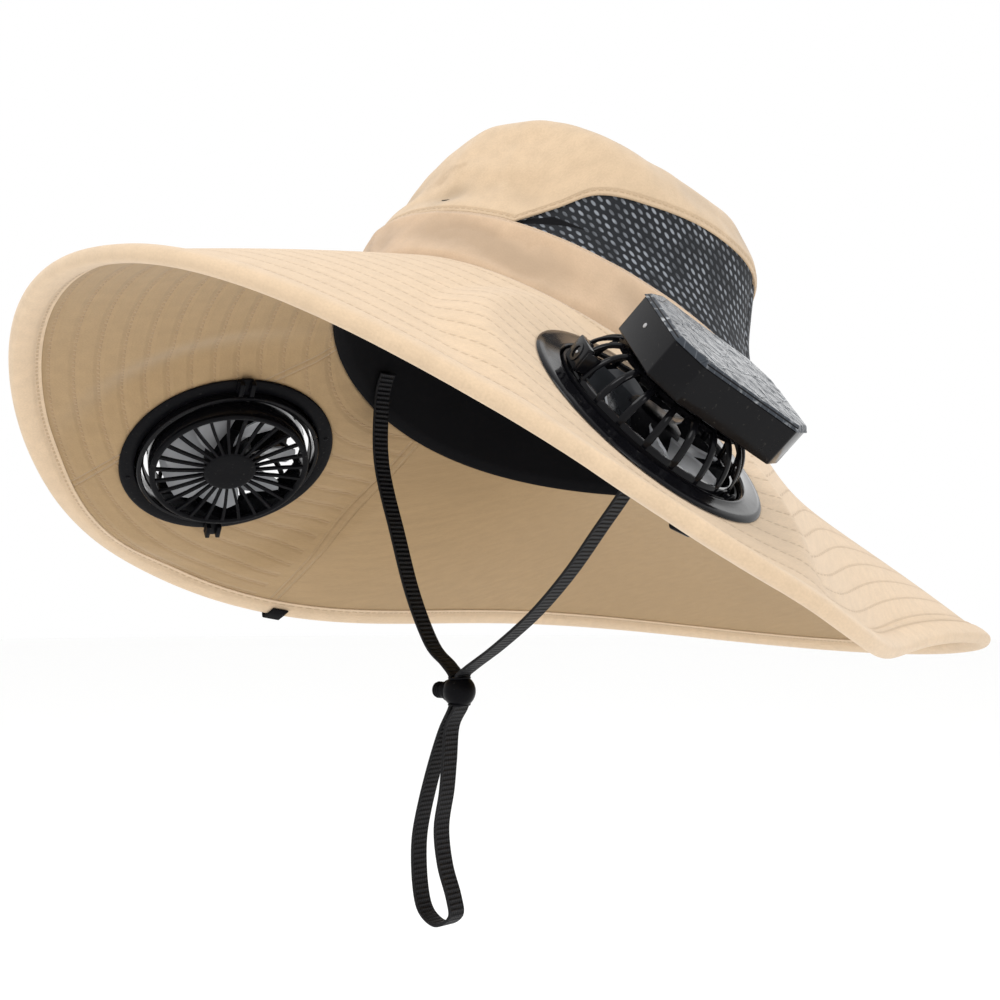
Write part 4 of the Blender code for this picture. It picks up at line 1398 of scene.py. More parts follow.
@dataclass(frozen=True)
class Brim:
    """Quilted brim, its folded binding and the small tab on the rim."""

    columns: int = 400
    rows: int = 84
    edge_rows: int = 6
    hole_radius: float = 0.0411
    binding_wall: float = 0.0008
    binding_nose: float = 0.0026
    binding_slack: float = 0.0012
    binding_columns: int = 480
    stitch_inset: float = 0.0024
    hole_depth: float = 0.02
    hole_margin: float = 0.005
    tab_wall: float = 0.0008
    tab_turn: float = math.radians(-99)
    tab_width: float = 0.0085
    tab_length: float = 0.0085

    def build(self, wardrobe: Wardrobe) -> None:
        """Make the three pieces."""
        self.cloth(wardrobe)
        self.binding(wardrobe)
        self.tab(wardrobe)

    def cloth(self, wardrobe: Wardrobe) -> None:
        """Make the brim's cloth, open where the fans go through."""
        soft_rows = self.rows - self.edge_rows

        def share_of(turn: float, v: float) -> float:
            """Share of the brim's reach at a row."""
            row = round(v * self.rows)
            first = FORM.brim_seam / FORM.brim_length(turn)
            edge = FORM.edge_share(turn)
            if row <= soft_rows:
                return first + (edge - first) * row / soft_rows
            return edge + (1 - edge) * (row - soft_rows) / self.edge_rows

        def point(u: float, v: float) -> Vector:
            """Place of the brim's middle face."""
            turn = full_turn(u)
            share = share_of(turn, v)
            edge = FORM.edge_share(turn)
            if share <= edge:
                return FORM.brim_point(turn, share)
            start = FORM.brim_point(turn, edge)
            end = FORM.rim_point(turn) - FORM.edge_axes(turn)[0] * self.binding_nose
            return start.lerp(end, (share - edge) / (1 - edge))

        def metres(u: float, v: float) -> tuple[float, float]:
            """Length round the brim and distance from its rim."""
            turn = full_turn(u)
            share = share_of(turn, v)
            reach = FORM.soft_point(turn, share).to_2d().length
            return turn * reach, (1 - share) * FORM.brim_length(turn)

        def panels(u: float, v: float) -> tuple[float, float]:
            """Share of the full turn and reach from the middle."""
            turn = full_turn(u)
            return u, FORM.soft_point(turn, share_of(turn, v)).to_2d().length
        bm = bent_grid(self.columns, self.rows, point, {"metres": metres, "panels": panels})
        for frame, inverse in FORM.fan_frames:
            self.open_hole(bm, frame, inverse)
        face_up(bm, lambda centre: UP)
        piece = Piece("brim_cloth", "hat", "sand_cloth", ("brim",))
        made = piece.deliver(bm, [wardrobe.brim_top, wardrobe.brim_under], FORM.pose, 60.0)
        wall(made, FORM.brim_wall, 0.0, under=1, rim=1)

    def open_hole(self, bm: bmesh.types.BMesh, frame: Matrix, inverse: Matrix) -> None:
        """Open a round hole in the brim, its edge drawn to a circle.

        Args:
            bm: the brim's bmesh.
            frame: frame of the fan seat.
            inverse: its inverse.
        """
        inside = []
        for face in bm.faces:
            local = inverse @ face.calc_center_median()
            if math.hypot(local.x, local.y) < self.hole_radius and abs(local.z) < self.hole_depth:
                inside.append(face)
        bmesh.ops.delete(bm, geom=inside, context="FACES")
        for vert in bm.verts:
            local = inverse @ vert.co
            radius = math.hypot(local.x, local.y)
            near = abs(local.z) < self.hole_depth and radius < self.hole_radius + self.hole_margin
            if vert.is_boundary and near:
                scale = self.hole_radius / radius
                vert.co = frame @ Vector((local.x * scale, local.y * scale, local.z))

    def binding_section(self) -> list[tuple[float, float]]:
        """Section of the folded binding, as reach past the rim and rise."""
        width, nose = FORM.binding_width, self.binding_nose
        inner = FORM.brim_wall / 2 + self.binding_slack
        outer = inner + self.binding_wall
        crest = outer - 0.0002
        turn_over = [(nose * math.cos(angle), crest * math.sin(angle))
                     for angle in (math.radians(step) for step in range(75, -76, -15))]
        cloth = FORM.brim_wall / 2
        upper = [(-width, cloth + 0.0001), (-width, cloth + 0.0006), (-width + 0.0008, cloth + 0.0008),
                 (-width + 0.0020, cloth + 0.0007), (-width * 0.6, outer - 0.0004), (-width * 0.3, outer),
                 (-width * 0.08, outer - 0.0001)]
        lower = [(reach, -rise) for reach, rise in reversed(upper)]
        deepest = nose - 0.0016
        inside = [(-width * 0.5, -inner + 0.0004), (deepest, -inner + 0.0006), (deepest, inner - 0.0006),
                  (-width * 0.5, inner - 0.0004)]
        return upper + turn_over + lower + inside

    def binding(self, wardrobe: Wardrobe) -> None:
        """Make the binding folded over the rim, drawn in a little by its stitches."""
        section = self.binding_section()
        count = len(section)
        runs = [0.0]
        for start, end in zip(section, section[1:-4]):
            runs.append(runs[-1] + math.dist(start, end))
        folded_over = runs[-1]
        runs += [folded_over] * (count - len(runs))

        def point(u: float, v: float) -> Vector:
            """Place of the binding's skin."""
            turn = full_turn(u)
            outward, upward = FORM.edge_axes(turn)
            reach, rise = section[round(v * count) % count]
            rim = FORM.rim_point(turn)
            swell = 1 + 0.02 * noise.noise(rim * 40.0)
            return rim + outward * (reach - self.binding_nose) + upward * rise * swell

        def metres(u: float, v: float) -> tuple[float, float]:
            """Length round the rim and distance from the row of stitches."""
            turn = full_turn(u)
            run = runs[round(v * count) % count]
            from_lip = min(run, folded_over - run)
            return turn * FORM.rim_point(turn).to_2d().length, from_lip - self.stitch_inset
        bm = bent_grid(self.binding_columns, count, point, {"metres": metres})
        bmesh.ops.recalc_face_normals(bm, faces=bm.faces)
        piece = Piece("binding_cloth", "hat", "sand_cloth", ("rim_binding",))
        piece.deliver(bm, [wardrobe.binding], FORM.pose, 60.0)

    def tab(self, wardrobe: Wardrobe) -> None:
        """Make the bare tab folded over the binding."""
        reach = FORM.binding_width
        rise = FORM.brim_wall / 2 + self.binding_slack + self.binding_wall + 0.0004
        half_turn = self.tab_width / 2 / FORM.rim_point(self.tab_turn).length
        bends = [(-self.tab_length, rise), (-reach * 0.5, rise + 0.0002), (0.0, rise)]
        bends += [(0.0009 * math.cos(angle), rise * math.sin(angle))
                  for angle in (math.radians(step) for step in range(60, -61, -20))]
        bends += [(0.0, -rise), (-reach * 0.5, -rise - 0.0002), (-self.tab_length, -rise)]
        last = len(bends) - 1

        def point(u: float, v: float) -> Vector:
            """Place of the tab's middle face."""
            turn = self.tab_turn + half_turn * (2 * u - 1)
            outward, upward = FORM.edge_axes(turn)
            forward, height = bends[round(v * last)]
            return FORM.rim_point(turn) + outward * (forward + 0.0002) + upward * height

        def metres(u: float, v: float) -> tuple[float, float]:
            """Place on the tab."""
            return u * self.tab_width, v * 2 * self.tab_length
        bm = bent_grid(8, last, point, {"metres": metres})
        middle = FORM.rim_point(self.tab_turn) - FORM.edge_axes(self.tab_turn)[0] * self.tab_length / 2
        face_up(bm, lambda centre: centre - middle)
        piece = Piece("tab_cloth", "hat", "black_cloth", ("rim_tab",))
        made = piece.deliver(bm, [wardrobe.tab], FORM.pose, 60.0)
        wall(made, self.tab_wall, 1.0)


@dataclass(frozen=True)
class Crown:
    """Soft crown: its top, the band, the mesh vents and the black sweatband."""

    columns: int = 360
    top_rows: int = 90
    band_rows: int = 26
    vent_columns: int = 200
    vent_rows: int = 30
    cloth_wall: float = 0.0015
    tuck: float = 0.0012
    sweatband_wall: float = 0.0012
    sweatband_top: float = 0.42
    gap: float = 0.0004
    rumple: float = 0.0016
    fold_gain: float = 1.8
    deep_fold: float = 0.0013
    top_room: float = 0.0045
    band_room: float = 0.0018
    band_proud: float = 0.0016
    foot_roll: float = 0.0009
    sweatband_rows: int = 48
    vent_wall: float = 0.0010

    def build(self, wardrobe: Wardrobe) -> None:
        """Make all the pieces of the crown."""
        self.top(wardrobe)
        self.band(wardrobe)
        for name, side in SIDES.items():
            self.vent(wardrobe, name, side)
        self.sweatband(wardrobe)

    def folded(
        self,
        creases: Iterable[Crease],
        turn: float,
        climb: float,
        ease: float,
        room: float,
    ) -> Vector:
        """Point of the crown with narrow folds and soft rumples.

        Args:
            creases: narrow folds that reach here.
            turn: turn from the front.
            climb: climb of the profile.
            ease: share of the folds that is let in here.
            room: most that the cloth may go in.

        Returns:
            The point in the hat's frame.
        """
        point = FORM.crown_point(turn, climb)
        depth = ease * self.fold_gain * FORM.crease_depth(creases, turn, climb)
        soft = noise.fractal(Vector((point.x * 22, point.y * 22, point.z * 30)), 0.9, 2.0, 3)
        ridge = 1 - abs(noise.noise(Vector((point.x * 34 + 7, point.y * 34, point.z * 16)))) * 3
        depth += self.rumple * ease * (soft * 0.8 - max(ridge, 0.0) * 0.35)
        return point + FORM.inward(turn, climb) * min(depth, room)

    def fold_share(self, creases: Iterable[Crease], turn: float, climb: float) -> tuple[float, float]:
        """How deep in a fold a place lies, for the painted shade in the folds."""
        return FORM.crease_depth(creases, turn, climb) / self.deep_fold, 0.0

    def top(self, wardrobe: Wardrobe) -> None:
        """Make the top, its foot tucked behind the band and edged along the vents."""
        last = CROWN_PROFILE[-1].climb

        def place(u: float, v: float) -> tuple[float, float, float]:
            """Turn, climb and distance above the foot, as a climb."""
            turn = full_turn(u)
            foot = max(FORM.band_top, FORM.vent_top(turn)) + 0.002
            climb = foot + (last - foot) * v
            return turn, climb, climb - foot

        def point(u: float, v: float) -> Vector:
            """Place of the top's outer face."""
            turn, climb, above = place(u, v)
            ease = smooth_step(above / 0.12) * smooth_step((last - climb) / 0.25)
            found = self.folded(CROWN_CREASES, turn, climb, ease, self.top_room)
            roll = self.foot_roll * math.exp(-(above / 0.02) ** 2)
            return found + FORM.inward(turn, climb) * roll

        def metres(u: float, v: float) -> tuple[float, float]:
            """Length round the crown and distance above the row of stitches."""
            turn, _, above = place(u, v)
            return turn * FORM.opening_length * ROUND_SHARE, above * FORM.crown_height - 0.0022

        def folds(u: float, v: float) -> tuple[float, float]:
            """Depth of the folds, for their painted shade."""
            turn, climb, _ = place(u, v)
            return self.fold_share(CROWN_CREASES, turn, climb)
        bm = bent_grid(self.columns, self.top_rows, point, {"metres": metres, "folds": folds})
        face_up(bm, lambda centre: centre)
        piece = Piece("crown_top_cloth", "hat", "sand_cloth", ("crown_top",))
        made = piece.deliver(bm, [wardrobe.crown, wardrobe.lining], FORM.pose, 75.0)
        wall(made, self.cloth_wall, -1.0, under=1)

    def band(self, wardrobe: Wardrobe) -> None:
        """Make the band, with a rolled upper edge."""
        foot, head = FORM.band_foot, FORM.band_top

        def point(u: float, v: float) -> Vector:
            """Place of the band's outer face."""
            turn = full_turn(u)
            climb = foot + (head - foot) * v
            ease = smooth_step(v / 0.25) * (0.4 + 0.6 * smooth_step((1 - v) / 0.2))
            found = self.folded(BAND_CREASES, turn, climb, ease, self.band_room)
            proud = self.band_proud * smooth_step(v / 0.2) * smooth_step((1 - v) / 0.06)
            return found - FORM.inward(turn, climb) * proud

        def metres(u: float, v: float) -> tuple[float, float]:
            """Length round the band and distance below the row of stitches."""
            below = (1 - v) * (head - foot) * FORM.crown_height
            return full_turn(u) * FORM.opening_length / 2, below - 0.0014

        def folds(u: float, v: float) -> tuple[float, float]:
            """Depth of the folds, for their painted shade."""
            return self.fold_share(BAND_CREASES, full_turn(u), foot + (head - foot) * v)
        bm = bent_grid(self.columns, self.band_rows, point, {"metres": metres, "folds": folds})
        face_up(bm, lambda centre: Vector((centre.x, centre.y, 0)))
        piece = Piece("crown_band_cloth", "hat", "sand_cloth", ("crown_band",))
        made = piece.deliver(bm, [wardrobe.band, wardrobe.lining], FORM.pose, 75.0)
        wall(made, self.cloth_wall, -1.0, under=1)

    def vent(self, wardrobe: Wardrobe, name: str, side: int) -> None:
        """Make one mesh panel, its edges tucked behind the cloth."""
        first, last = math.radians(FORM.vent_start), math.pi

        def place(u: float, v: float) -> tuple[float, float]:
            """Turn and climb."""
            turn = first + (last - first) * (u if side > 0 else 1 - u)
            foot = FORM.band_top - 0.015
            head = FORM.vent_top(turn) + 0.03
            return side * turn, foot + (head - foot) * v

        def point(u: float, v: float) -> Vector:
            """Place of the mesh's outer face."""
            turn, climb = place(u, v)
            found = FORM.crown_point(turn, climb)
            slack = 0.0012 * math.sin(math.pi * v)
            seam = 0.0010 * math.exp(-(math.remainder(abs(turn) - math.radians(118), math.tau) / 0.03) ** 2)
            return found + FORM.inward(turn, climb) * (self.tuck + slack + seam)

        def metres(u: float, v: float) -> tuple[float, float]:
            """Place on the mesh."""
            turn, climb = place(u, v)
            return turn * FORM.opening_length * ROUND_SHARE, climb * FORM.crown_height
        bm = bent_grid(self.vent_columns, self.vent_rows, point, {"metres": metres})
        face_up(bm, lambda centre: Vector((centre.x, centre.y, 0)))
        piece = Piece("vent_net_" + name, "hat", "black_mesh", ("mesh_vent_" + name,))
        wall(piece.deliver(bm, [wardrobe.mesh], FORM.pose, 75.0), self.vent_wall, -1.0)

    def sweatband(self, wardrobe: Wardrobe) -> None:
        """Make the black band inside the opening."""
        foot, head = FORM.band_foot, self.sweatband_top

        def point(u: float, v: float) -> Vector:
            """Place of the band's outer face."""
            turn = full_turn(u)
            outer = FORM.crown_point(turn, foot + (head - foot) * v)
            inward = Vector((-outer.x, -outer.y, 0)).normalized()
            puff = 0.0004 * math.sin(math.pi * v) * noise.noise(outer * 60.0)
            tucked = (self.cloth_wall + 2 * self.gap + puff) * smooth_step(v / 0.06)
            return outer + inward * tucked - UP * 0.0012 * (1 - smooth_step(v / 0.06))

        def metres(u: float, v: float) -> tuple[float, float]:
            """Length round the band and height."""
            return full_turn(u) * FORM.opening_length / 2, v * (head - foot) * FORM.crown_height
        bm = bent_grid(self.columns, self.sweatband_rows, point, {"metres": metres})
        face_up(bm, lambda centre: Vector((centre.x, centre.y, 0)))
        piece = Piece("sweatband_cloth", "hat", "black_cloth", ("sweatband",))
        wall(piece.deliver(bm, [wardrobe.lining], FORM.pose, 75.0), self.sweatband_wall, -1.0)


@dataclass(frozen=True)
class FanSizes:
    """Sizes that the seat and the head of a fan share."""

    flange_opening: float = 0.0385
    flange_wall: float = 0.0013
    collar_wall: float = 0.0021
    collar_depth: float = 0.006
    head_radius: float = 0.0350
    head_wall: float = 0.0016
    head_foot: float = 0.0095
    dome_start: float = 0.0020
    dome_top: float = 0.0191
    dome_flat: float = 0.0210
    tilt_angle: float = math.radians(50)
    head_lean: float = math.radians(-3.5)
    hub_radius: float = 0.0115
    gap: float = 0.0004


@dataclass(frozen=True)
class Fan:
    """One fan: its seat in the brim, its tilting head and the solar box on it."""

    name: str
    side: int
    joints: dict
    sizes: FanSizes = FanSizes()
    ribs: int = 20
    spokes: int = 27
    blades: int = 7
    rotor_radius: float = 0.0300
    box_length: float = 0.060
    box_width: float = 0.052
    box_height: float = 0.0158
    box_chamfer: float = 0.009
    box_turn: float = math.radians(48)
    box_ahead: float = 0.0050
    box_aside: float = 0.0040
    film_overhang: float = 0.0004
    latch_turn: float = math.radians(14)
    port_turn: float = math.radians(85)
    port_width: float = 0.0125
    port_height: float = 0.0090
    port_depth: float = 0.0024
    socket_radius: float = 0.0022

    def head_frame(self) -> Matrix:
        """Frame of the tilting head, worked out from the part's own joints."""
        tilt = Vector(self.joints[self.name + "_fan_tilt"]["axis"]).normalized()
        spin = Vector(self.joints[self.name + "_rotor_spin"]["axis"]).normalized()
        return self.framed(tilt, spin)

    def seat_frame(self) -> Matrix:
        """Frame of the seat, which the head leans from."""
        tilt = Vector(self.joints[self.name + "_fan_tilt"]["axis"]).normalized()
        spin = Vector(self.joints[self.name + "_rotor_spin"]["axis"]).normalized()
        return self.framed(tilt, Matrix.Rotation(-self.side * self.sizes.head_lean, 3, tilt) @ spin)

    def framed(self, tilt: Vector, upward: Vector) -> Matrix:
        """Frame with Z upward whose X lies at the tilt angle from the tilt axis."""
        sideways = Matrix.Rotation(-self.side * self.sizes.tilt_angle, 3, upward) @ tilt
        turning = Matrix((sideways, upward.cross(sideways), upward)).transposed().to_4x4()
        return Matrix.Translation(self.joints[self.name + "_fan_tilt"]["pos_m"]) @ turning

    def node(self, stem: str) -> str:
        """Name of one of this fan's own nodes."""
        return f"{stem}_{self.name}"

    def deliver(
        self,
        stem: str,
        node: str,
        slot: str,
        bm: bmesh.types.BMesh,
        materials: Iterable[bpy.types.Material],
        matrix: Matrix,
        body: str = "hat",
        sharp: float = 40.0,
    ) -> None:
        """Deliver one of this fan's pieces.

        Args:
            stem: piece's name without the side.
            node: name of the solid it stands for, without the side.
            slot: material slot of the solid; not used.
            bm: the piece's mesh.
            materials: materials of its slots.
            matrix: move to the world.
            body: body that it rides on.
            sharp: angle in degrees past which an edge stays sharp.
        """
        Piece(self.node(stem), body, slot, (self.node(node),)).deliver(bm, materials, matrix, sharp)

    def build(self, wardrobe: Wardrobe) -> None:
        """Make all the pieces of the fan."""
        self.flange(wardrobe)
        self.under_ring(wardrobe)
        self.pivots(wardrobe)
        self.cage(wardrobe)
        self.grille(wardrobe)
        self.rotor(wardrobe)
        self.solar_box(wardrobe)
        self.film(wardrobe)
        self.port(wardrobe)

    def flange(self, wardrobe: Wardrobe) -> None:
        """Make the polished plate on the brim, with its collar."""
        size = self.sizes
        under = FORM.brim_wall / 2 + size.gap
        top = under + size.flange_wall
        edge = FORM.flange_radius
        opening = size.flange_opening
        collar = opening + size.collar_wall
        profile = (
            (opening, top - 0.0005), (opening + 0.0003, top - 0.0001), (opening + 0.0008, top + 0.0003),
            (opening + 0.0016, top + 0.0002), (opening + 0.0022, top), (edge - 0.0030, top - 0.0001),
            (edge - 0.0010, top - 0.0003), (edge - 0.0002, top - 0.0008), (edge, top - 0.0012),
            (edge - 0.0002, under),
            (collar, under), (collar, -size.collar_depth + 0.0004), (collar - 0.0004, -size.collar_depth),
            (opening + 0.0004, -size.collar_depth), (opening, -size.collar_depth + 0.0004),
        )
        self.deliver("flange_plate", "fan_flange", "glossy_black",
                     turned(profile, 120), [wardrobe.polished], self.seat_frame())

    def under_ring(self, wardrobe: Wardrobe) -> None:
        """Make the ring that clamps the brim from below."""
        size = self.sizes
        top = -FORM.brim_wall / 2 - size.gap
        low = top - size.flange_wall
        inner = size.flange_opening + size.collar_wall + size.gap
        edge = FORM.flange_radius
        profile = (
            (inner, top), (edge - 0.0002, top), (edge, top - 0.0004), (edge - 0.0001, low + 0.0006),
            (edge - 0.0005, low + 0.0002), (edge - 0.0012, low), (inner + 0.0006, low),
            (inner + 0.0002, low + 0.0002),
            (inner, low + 0.0006),
        )
        bm = turned(profile, 120)
        for turn in (math.radians(205), math.radians(25)):
            screw = rod(0.0010, -0.0004, 0.0004, 20, 0.0002)
            reach = (inner + edge) / 2
            spot = Matrix.Translation((reach * math.cos(turn), reach * math.sin(turn), low + 0.0001))
            absorb(bm, screw, spot @ Matrix.Rotation(math.pi / 2, 4, "Y"))
        if self.name == "left":
            latch = block((0.0060, 0.0085, 0.0052), 0.0012, 0.0005)
            lobe = rod(0.0017, -0.0040, 0.0040, 24, 0.0004)
            spot = Matrix.Translation((0.0012, 0, -0.0024))
            absorb(latch, lobe, spot @ Matrix.Rotation(math.pi / 2, 4, "Z"))
            place = Matrix.Translation((edge - 0.0020, 0, low - 0.0024))
            absorb(bm, latch, Matrix.Rotation(self.side * self.latch_turn, 4, "Z") @ place)
        self.deliver("clamp_ring", "fan_under_ring", "matte_black",
                     bm, [wardrobe.satin], self.seat_frame())

    def pivots(self, wardrobe: Wardrobe) -> None:
        """Make the bosses that the head tilts on, and the clips below the ring."""
        size = self.sizes
        first = size.head_radius + size.gap
        last = size.flange_opening - 1.5 * size.gap
        ring_foot = FORM.brim_wall / 2 + size.gap + size.flange_wall
        reach = size.flange_opening + size.collar_wall + size.gap + 0.0045
        for end, turn in (("outer", 0.0), ("inner", math.pi)):
            heading = Matrix.Rotation(self.side * size.tilt_angle + turn, 4, "Z")
            boss = rod(0.0030, first, last, 32, 0.0003)
            lug = rod(0.0042, last - 0.0008, last, 32, 0.0002)
            absorb(boss, lug)
            screw = rod(0.0013, first - 0.0001, first + 0.0004, 20)
            absorb(boss, screw)
            self.deliver(f"pivot_boss_{end}", f"fan_pivot_{end}", "matte_black",
                         boss, [wardrobe.satin], self.seat_frame() @ heading)
            clip = block((0.0090, 0.0075, 0.0014), 0.0015, 0.0003)
            bmesh.ops.translate(clip, verts=clip.verts, vec=(0, 0, 0.0014))
            for across in (-1, 1):
                prong = block((0.0072, 0.0020, 0.0034), 0.0, 0.0004)
                absorb(clip, prong, Matrix.Translation((0.0004, across * 0.0024, -0.0003)))
            spot = heading @ Matrix.Translation((reach, 0, -ring_foot - size.gap - 0.0021))
            self.deliver(f"ring_clip_{end}", f"fan_clip_{end}", "matte_black",
                         clip, [wardrobe.satin], self.seat_frame() @ spot)

    def dome(self, swing: float, inset: float = 0.0) -> tuple[float, float]:
        """Radius and height of the dome at a swing from its side up to its top."""
        size = self.sizes
        across, up = math.cos(swing), math.sin(swing)
        radius = size.dome_flat + (size.head_radius - size.dome_flat) * across - inset * across
        return radius, size.dome_start + (size.dome_top - size.dome_start) * up - inset * up

    def cage(self, wardrobe: Wardrobe) -> None:
        """Make the domed cage: a foot ring, arched ribs, a ball skirt and the top plate."""
        size = self.sizes
        outer, foot = size.head_radius, -size.head_foot
        sill = size.dome_start + 0.0016
        ring = turned((
            (outer - size.head_wall, sill), (outer - 0.0004, sill), (outer, sill - 0.0005),
            (outer, foot + 0.0004),
            (outer - 0.0003, foot), (outer - size.head_wall, foot)), 120)
        top = size.dome_top
        flat = size.dome_flat
        rim_radius, rim_height = self.dome(math.radians(66))
        plate = turned((
            (0.0, top), (flat - 0.004, top), (flat, top - 0.0002), (rim_radius, rim_height),
            (rim_radius - 0.0008, rim_height - 0.0016), (flat - 0.002, top - size.head_wall),
            (0.0, top - size.head_wall)), 120)
        absorb(ring, plate)
        absorb(ring, self.ribbed())
        absorb(ring, self.skirt(), slot=1)
        self.deliver("cage_shell", "fan_cage", "glossy_black",
                     ring, [wardrobe.polished, wardrobe.satin], self.head_frame(), self.body())

    def skirt(self) -> bmesh.types.BMesh:
        """Make the ball-shaped skirt that closes the gap to the collar, open at the pivots."""
        size = self.sizes
        ball = size.flange_opening - 0.0007
        low, high = -size.collar_depth * 0.5, size.dome_start
        heights = [low + (high - low) * step / 6 for step in range(7)]
        outer = [(math.sqrt(ball ** 2 - height ** 2), height) for height in heights]
        inner = [(radius - 0.0009, height) for radius, height in reversed(outer)]
        bm = turned(outer + inner, 120)
        near = math.radians(8)
        open_faces = []
        for face in bm.faces:
            centre = face.calc_center_median()
            apart = math.remainder(math.atan2(centre.y, centre.x) - self.side * size.tilt_angle, math.pi)
            if abs(apart) < near:
                open_faces.append(face)
        bmesh.ops.delete(bm, geom=open_faces, context="FACES")
        bmesh.ops.holes_fill(bm, edges=[edge for edge in bm.edges if edge.is_boundary])
        return bm

    def ribbed(self) -> bmesh.types.BMesh:
        """Make the cage's arched ribs."""
        width = 0.0026
        bm = bmesh.new()
        bmesh.ops.create_grid(bm, x_segments=12, y_segments=4, size=0.5)
        for vert in bm.verts:
            swing = math.radians(2 + 70 * (vert.co.x + 0.5))
            crest = 0.0004 * (1 - (2 * vert.co.y) ** 2)
            radius, height = self.dome(swing, 0.0002 - crest)
            vert.co = Vector((radius, vert.co.y * width * (0.72 + 0.28 * math.cos(swing)), height))
        face_up(bm, lambda centre: Vector((centre.x, 0, centre.z)))
        bmesh.ops.solidify(bm, geom=list(bm.faces), thickness=0.0015)
        bmesh.ops.recalc_face_normals(bm, faces=bm.faces)
        repeat_round(bm, self.ribs)
        return bm

    def body(self) -> str:
        """Body of the tilting head."""
        return self.name + "_fan"

    def grille(self, wardrobe: Wardrobe) -> None:
        """Make the flat grille: rim, curved spokes and the round hub."""
        size = self.sizes
        top = -size.head_foot - size.gap
        low = top - 0.0018
        outer, hub = size.head_radius, size.hub_radius
        bm = turned((
            (outer - 0.0026, top), (outer, top), (outer, low + 0.0006), (outer - 0.0005, low + 0.0001),
            (outer - 0.0013, low), (outer - 0.0021, low + 0.0001), (outer - 0.0026, low + 0.0006)), 120)
        absorb(bm, turned((
            (0.0, top), (hub, top), (hub, low + 0.0005), (hub - 0.0004, low + 0.0001), (hub - 0.0012, low),
            (hub * 0.5, low + 0.0001), (0.0, low + 0.0001)), 72))
        spoke = bmesh.new()
        bmesh.ops.create_grid(spoke, x_segments=8, y_segments=1, size=0.5)
        for vert in spoke.verts:
            share = vert.co.x + 0.5
            reach = hub * 0.9 + (outer - 0.002 - hub * 0.9) * share
            sweep = self.side * 0.015 * math.sin(math.pi * share)
            side_step = vert.co.y * (0.0011 + 0.0003 * share)
            vert.co = Matrix.Rotation(sweep, 3, "Z") @ Vector((reach, side_step, low + 0.0002))
        face_up(spoke, lambda centre: -UP)
        bmesh.ops.solidify(spoke, geom=list(spoke.faces), thickness=0.0014)
        bmesh.ops.recalc_face_normals(spoke, faces=spoke.faces)
        repeat_round(spoke, self.spokes)
        absorb(bm, spoke)
        self.deliver("grille_spokes", "fan_grille", "matte_black",
                     bm, [wardrobe.satin], self.head_frame(), self.body())

    def rotor(self, wardrobe: Wardrobe) -> None:
        """Make the rotor: a black hub with wide blades, dark on top as painted shade and grey beneath as
        painted light.
        """
        size = self.sizes
        foot, crest = -size.head_foot, size.dome_start + 0.0045
        radius = size.hub_radius * 0.95
        bm = turned((
            (0.0, crest), (radius - 0.003, crest), (radius - 0.0008, crest - 0.0010),
            (radius, crest - 0.0030), (radius, foot), (0.0, foot)), 60)
        blade = bmesh.new()
        bmesh.ops.create_grid(blade, x_segments=10, y_segments=10, size=0.5)
        for vert in blade.verts:
            share, chord = vert.co.x + 0.5, vert.co.y
            reach = radius - 0.001 + (self.rotor_radius - radius + 0.001) * share
            spread = math.radians(44 + 9 * math.sin(math.pi * (share * 0.8 + 0.1)))
            rounding = 1 - 0.25 * smooth_step((share - 0.8) / 0.2)
            height = foot + 0.0088 - self.side * chord * rounding * (0.0100 + 0.0035 * share)
            angle = chord * spread * rounding + 0.22 * share
            vert.co = Vector((reach * math.cos(angle), reach * math.sin(angle), height))
        face_up(blade, lambda centre: UP)
        bmesh.ops.solidify(blade, geom=list(blade.faces), thickness=0.0009)
        bmesh.ops.recalc_face_normals(blade, faces=blade.faces)
        blade.normal_update()
        # Upward faces take the painted shade, downward faces the painted light.
        for face in blade.faces:
            face.material_index = 1 if face.normal.z > 0.0 else 2
        repeat_round(blade, self.blades)
        absorb(bm, blade, slot=None)
        self.deliver("rotor_blades", "fan_rotor", "matte_black",
                     bm, [wardrobe.satin, wardrobe.blade, wardrobe.blade_underside_painted_light],
                     self.head_frame(), self.name + "_rotor")

    def box_frame(self) -> Matrix:
        """Frame of the solar box, with its foot at height 0."""
        turn = Matrix.Rotation(self.side * (self.sizes.tilt_angle + self.box_turn), 4, "Z")
        foot = self.sizes.dome_top + self.sizes.gap
        place = Matrix.Translation((self.box_ahead, self.side * self.box_aside, foot))
        return self.head_frame() @ place @ turn

    def solar_box(self, wardrobe: Wardrobe) -> None:
        """Make the box with its chamfered corners, lid line and small mark."""
        lid = 0.0012
        bm = block((self.box_length, self.box_width, self.box_height - lid), self.box_chamfer, 0.0007)
        bmesh.ops.translate(bm, verts=bm.verts, vec=(0, 0, (self.box_height - lid) / 2))
        cover = block((self.box_length - 0.0004, self.box_width - 0.0004, lid), self.box_chamfer, 0.0004)
        absorb(bm, cover, Matrix.Translation((0, 0, self.box_height - lid / 2)))
        mark = rod(0.0009, -0.0003, 0.0002, 20, 0.0002)
        spot = Matrix.Translation((-self.box_length / 2, 0.004, self.box_height * 0.55))
        absorb(bm, mark, spot, 1)
        self.deliver("box_case", "solar_box", "glossy_black",
                     bm, [wardrobe.polished, wardrobe.steel], self.box_frame(), self.body(), sharp=30.0)

